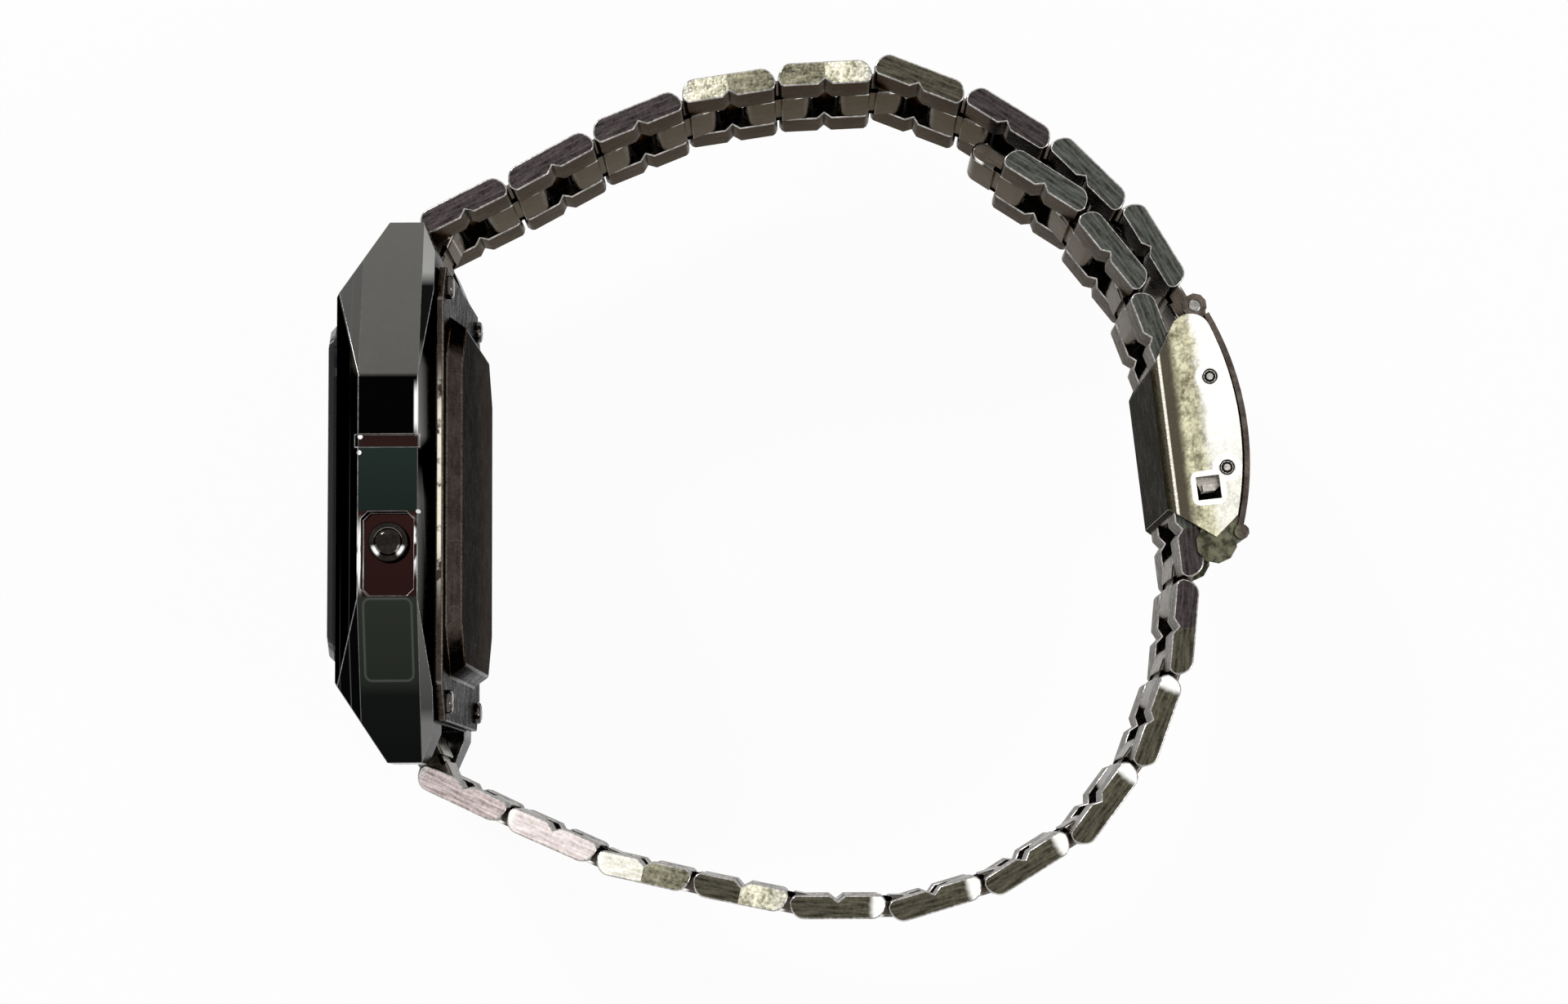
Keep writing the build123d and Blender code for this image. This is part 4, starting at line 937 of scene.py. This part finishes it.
# CAD nodes: softened edges and their materials
def smoothGroup(limit):
    tree = bpy.data.node_groups.new("smoothByAngle", "GeometryNodeTree")
    for side in ("INPUT", "OUTPUT"):
        tree.interface.new_socket(name="Geometry", in_out=side, socket_type="NodeSocketGeometry")
    start, end, faces, edges, angle, flat = [tree.nodes.new(kind) for kind in (
        "NodeGroupInput", "NodeGroupOutput", "GeometryNodeSetShadeSmooth", "GeometryNodeSetShadeSmooth",
        "GeometryNodeInputMeshEdgeAngle", "FunctionNodeCompare")]
    edges.domain = "EDGE"
    flat.operation = "LESS_THAN"
    flat.inputs[1].default_value = limit
    tree.links.new(angle.outputs[0], flat.inputs[0])
    tree.links.new(start.outputs[0], faces.inputs["Geometry"])
    tree.links.new(faces.outputs[0], edges.inputs["Geometry"])
    tree.links.new(flat.outputs[0], edges.inputs["Shade Smooth"])
    tree.links.new(edges.outputs[0], end.inputs[0])
    return tree


dressValues = dict(weld=0.000002, flat=0.5, segments=3, bevelFrom=38, smoothUpTo=37)  # metres, degrees
smoothByAngle = smoothGroup(radians(dressValues["smoothUpTo"]))


def dress(node, material, rimMaterial=None, width=0.0):
    piece = nodes[node]
    piece.data.materials.clear()
    piece.data.materials.append(looks[material])
    weld = piece.modifiers.new("weld", "WELD")
    weld.merge_threshold = dressValues["weld"]
    if width:
        flat = piece.modifiers.new("flat", "DECIMATE")
        flat.decimate_type = "DISSOLVE"
        flat.angle_limit = radians(dressValues["flat"])
        bevel = piece.modifiers.new("bevel", "BEVEL")
        bevel.width = width * mm
        bevel.segments = dressValues["segments"]
        bevel.limit_method = "ANGLE"
        bevel.angle_limit = radians(dressValues["bevelFrom"])
        bevel.use_clamp_overlap = True
        if rimMaterial:
            piece.data.materials.append(looks[rimMaterial])
            bevel.material = 1
    smooth = piece.modifiers.new("smooth", "NODES")
    smooth.node_group = smoothByAngle
    weighted = piece.modifiers.new("weightedNormals", "WEIGHTED_NORMAL")
    weighted.keep_sharp = True


bevelled = dict(case_body=("caseSteel", "caseRim", 0.12), crystal=("glass", None, 0.1),
                case_back=("backSteel", "backRim", 0.22), clasp_slider=("claspSteel", "claspRim", 0.08))
plain = dict(
    dialPrint=["dial_panel"], lcdGlass=["lcd_panel"], siliconeStrip=["lcd_connectors"],
    modulePlastic=["module_frame"], laminate=["circuit_board"], brass=["buzzer_disc"],
    springSteel=["battery", "battery_clip", "buzzer_contact"], rubber=["back_gasket", "pusher_seals"],
    pinSteel=["lug_spring_bars", "cover_pin", "strap_end_bar"], rivet=["blade_pin", "lock_rivets"],
    flapSteel=["lock_flap"], coverSteel=["fold_blade", "clasp_cover"])
for node, (material, rimMaterial, width) in bevelled.items():
    dress(node, material, rimMaterial, width)
for material, places in plain.items():
    for node in places:
        dress(node, material)
for name, (base, inward, y) in case["pushers"].items():
    dress(f"pusher_spring_{name}", "springSteel")
    dress(f"pusher_clip_{name}", "springSteel")
    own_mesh(bpy.data.objects[f"pusher_spring_{name}"])
print("CAD nodes dressed")


# digits on the display and lines on the printed panel
segmentsOn = {"0": "abcdef", "1": "bc", "2": "abged", "3": "abgcd", "4": "fgbc", "5": "afgcd", "6": "afgedc",
              "7": "abc", "8": "abcdefg", "9": "abcfgd"}
segmentEnds = dict(a=("tl", "tr"), b=("tr", "mr"), c=("mr", "br"), d=("bl", "br"), e=("ml", "bl"),
                   f=("tl", "ml"), g=("ml", "mr"))
display = dict(
    proud=0.005, depth=0.02, slant=0.09, gapShare=0.22,
    rows=[  # text, first place from the middle, digit size, stroke and step
        ("10", (-8.6, -2.9), (2.2, 4.9), 0.62, 3.5), ("58", (-0.85, -2.9), (2.2, 4.9), 0.62, 3.5),
        ("36", (6.25, -2.9), (1.35, 3.0), 0.42, 2.15), ("24", (4.2, 2.75), (0.8, 1.6), 0.26, 1.35)],
    dots=(-1.9, 0.4), dotEnds=(-2.05, -1.45), dotStroke=0.5,
    frames=[(5.3, 11.0, 0.16), (9.9, 12.6, 0.12)], frameX=-2.206, corner=0.9, cornerShare=0.3)


def addBar(bm, x, ends, thick):
    (z1, y1), (z2, y2) = ends
    dz, dy = z2 - z1, y2 - y1
    size = hypot(dz, dy)
    dz, dy = dz / size * thick / 2, dy / size * thick / 2
    outline = [(z1, y1), (z1 + dz - dy, y1 + dy + dz), (z2 - dz - dy, y2 - dy + dz), (z2, y2),
               (z2 - dz + dy, y2 - dy - dz), (z1 + dz + dy, y1 + dy - dz)]
    rings = [[bm.verts.new(Vector((level, y, z)) * mm) for z, y in outline]
             for level in (x, x - display["depth"])]
    bm.faces.new(rings[0])
    bm.faces.new(rings[1])
    joinRings(bm, rings[0], rings[1], smooth=False)


def addDigit(bm, digit, z, y, wide, tall, thick, x):
    spots = {row + column: Vector((z + across + display["slant"] * up, y + up))
             for row, up in (("t", tall), ("m", tall / 2), ("b", 0.0))
             for column, across in (("l", 0.0), ("r", wide))}
    for label in segmentsOn[digit]:
        first, second = [spots[corner] for corner in segmentEnds[label]]
        way = (second - first).normalized() * (thick * display["gapShare"])
        addBar(bm, x, (first + way, second - way), thick)


def makeDisplay():
    bm = bmesh.new()
    x = case["lcdFront"] - display["proud"]
    for text, (across, up), (wide, tall), thick, step in display["rows"]:
        for index, digit in enumerate(text):
            addDigit(bm, digit, case["mid"] + across + index * step, up, wide, tall, thick, x)
    for dot in display["dots"]:
        addBar(bm, x, [(case["mid"] + end, dot) for end in display["dotEnds"]], display["dotStroke"])
    bmesh.ops.recalc_face_normals(bm, faces=bm.faces)
    digits = finishPiece(bm, "displayDigits", ["lcdInk"])
    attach(digits, "case")


def makeDialLines():
    bm = bmesh.new()
    for halfY, halfZ, wide in display["frames"]:
        loops = []
        for extra in (0, wide):
            corner = display["corner"] - extra * display["cornerShare"]
            ring = []
            for sz, sy in ((1, 1), (-1, 1), (-1, -1), (1, -1)):
                cz, cy = sz * (halfZ - corner - extra), sy * (halfY - corner - extra)
                turns = [atan2(sy, sz) - pi / 4 + k * pi / 8 for k in range(5)]
                ring += [(cz + corner * cos(t), cy + corner * sin(t)) for t in turns]
            middle = Vector((display["frameX"], 0, case["mid"]))
            loops.append([bm.verts.new((middle + Vector((0, y, z))) * mm) for z, y in ring])
        joinRings(bm, loops[0], loops[1], smooth=False)
    lines = finishPiece(bm, "dialLines", ["dialLine"])
    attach(lines, "case")


makeDisplay()
makeDialLines()
print("display done")


# heads of the clasp's pins on both cheeks: a raised ring round a domed pin
ringShape = [(0.62, 0.0), (0.6, 0.03), (0.54, 0.05), (0.47, 0.04), (0.43, -0.02), (0.41, -0.1)]
headShape = [(0.41, -0.1), (0.39, 0.0), (0.34, 0.045), (0.2, 0.06), (0, 0.065)]


def makeClaspMarks():
    bm = bmesh.new()
    for level, angle in ((claspMarks["outer"], 0), (claspMarks["inner"], pi)):
        turn = Matrix.Rotation(angle, 3, "X")
        for u, v in claspMarks["pins"]:
            for shape in (ringShape, headShape):
                addLathe(bm, shape, 32, inClasp(u, v, level) * mm, turn)
    piece = finishPiece(bm, "claspPinMarks", ["rivet"], 60)
    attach(piece, "clasp")


makeClaspMarks()
print("clasp marks done")


# floor, light and background: the camera, metal and glass see white, and the floor keeps the shadow
def paperRays(tree):
    path = tree.nodes.new("ShaderNodeLightPath").outputs
    return highest(path["Is Camera Ray"], path["Is Glossy Ray"], path["Is Transmission Ray"])


def makeFloor(values):
    bm = bmesh.new()
    bmesh.ops.create_grid(bm, x_segments=2, y_segments=2, size=values["size"])
    mesh = bpy.data.meshes.new("floor")
    bm.to_mesh(mesh)
    bm.free()
    floor = bpy.data.objects.new("floor", mesh)
    scene.collection.objects.link(floor)
    floor.location = values["place"]
    material, tree, shader, place = newMaterial("floorPaper")
    shader.inputs["Base Color"].default_value = (*values["colour"], 1)
    shader.inputs["Roughness"].default_value = values["rough"]
    shader.inputs["Specular IOR Level"].default_value = 0.0
    glow = tree.nodes.new("ShaderNodeEmission")
    glow.inputs["Color"].default_value = (1, 1, 1, 1)
    mix = tree.nodes.new("ShaderNodeMixShader")
    tree.links.new(times(paperRays(tree), values["glow"]), mix.inputs[0])
    tree.links.new(shader.outputs[0], mix.inputs[1])
    tree.links.new(glow.outputs[0], mix.inputs[2])
    tree.links.new(mix.outputs[0], tree.nodes["Material Output"].inputs[0])
    mesh.materials.append(material)


def makeWorld(values):
    world = bpy.data.worlds.new("studio")
    world.use_nodes = True
    tree = world.node_tree
    tree.nodes.clear()
    background = tree.nodes.new("ShaderNodeBackground")
    background.inputs["Color"].default_value = (1, 1, 1, 1)
    strength = rangeNode(paperRays(tree), 0.0, 1.0, values["fill"], 1.0, smooth=False)
    tree.links.new(strength, background.inputs["Strength"])
    output = tree.nodes.new("ShaderNodeOutputWorld")
    tree.links.new(background.outputs[0], output.inputs[0])
    scene.world = world


def areaLight(name, values):
    data = bpy.data.lights.new(name, "AREA")
    data.shape = "DISK"
    data.size = values["size"]
    data.energy = values["power"]
    lamp = bpy.data.objects.new(name, data)
    scene.collection.objects.link(lamp)
    lamp.location = values["place"]
    lamp.rotation_mode = "QUATERNION"
    lamp.rotation_quaternion = (Vector(values["target"]) - lamp.location).to_track_quat("-Z", "Y")


makeFloor(dict(size=1.5, place=(0.03, 0, -0.0002), colour=(0.9, 0.9, 0.9), rough=0.9, glow=0.95))
makeWorld(dict(fill=0.45))
areaLight("key", dict(place=(-0.25, 0.35, 0.5), target=(0.03, 0, 0.02), size=0.12, power=1.6))
areaLight("fill", dict(place=(0.45, -0.2, 0.45), target=(0.03, 0, 0.02), size=0.2, power=0.8))
scene.view_settings.view_transform = "Standard"
print("floor and light done")
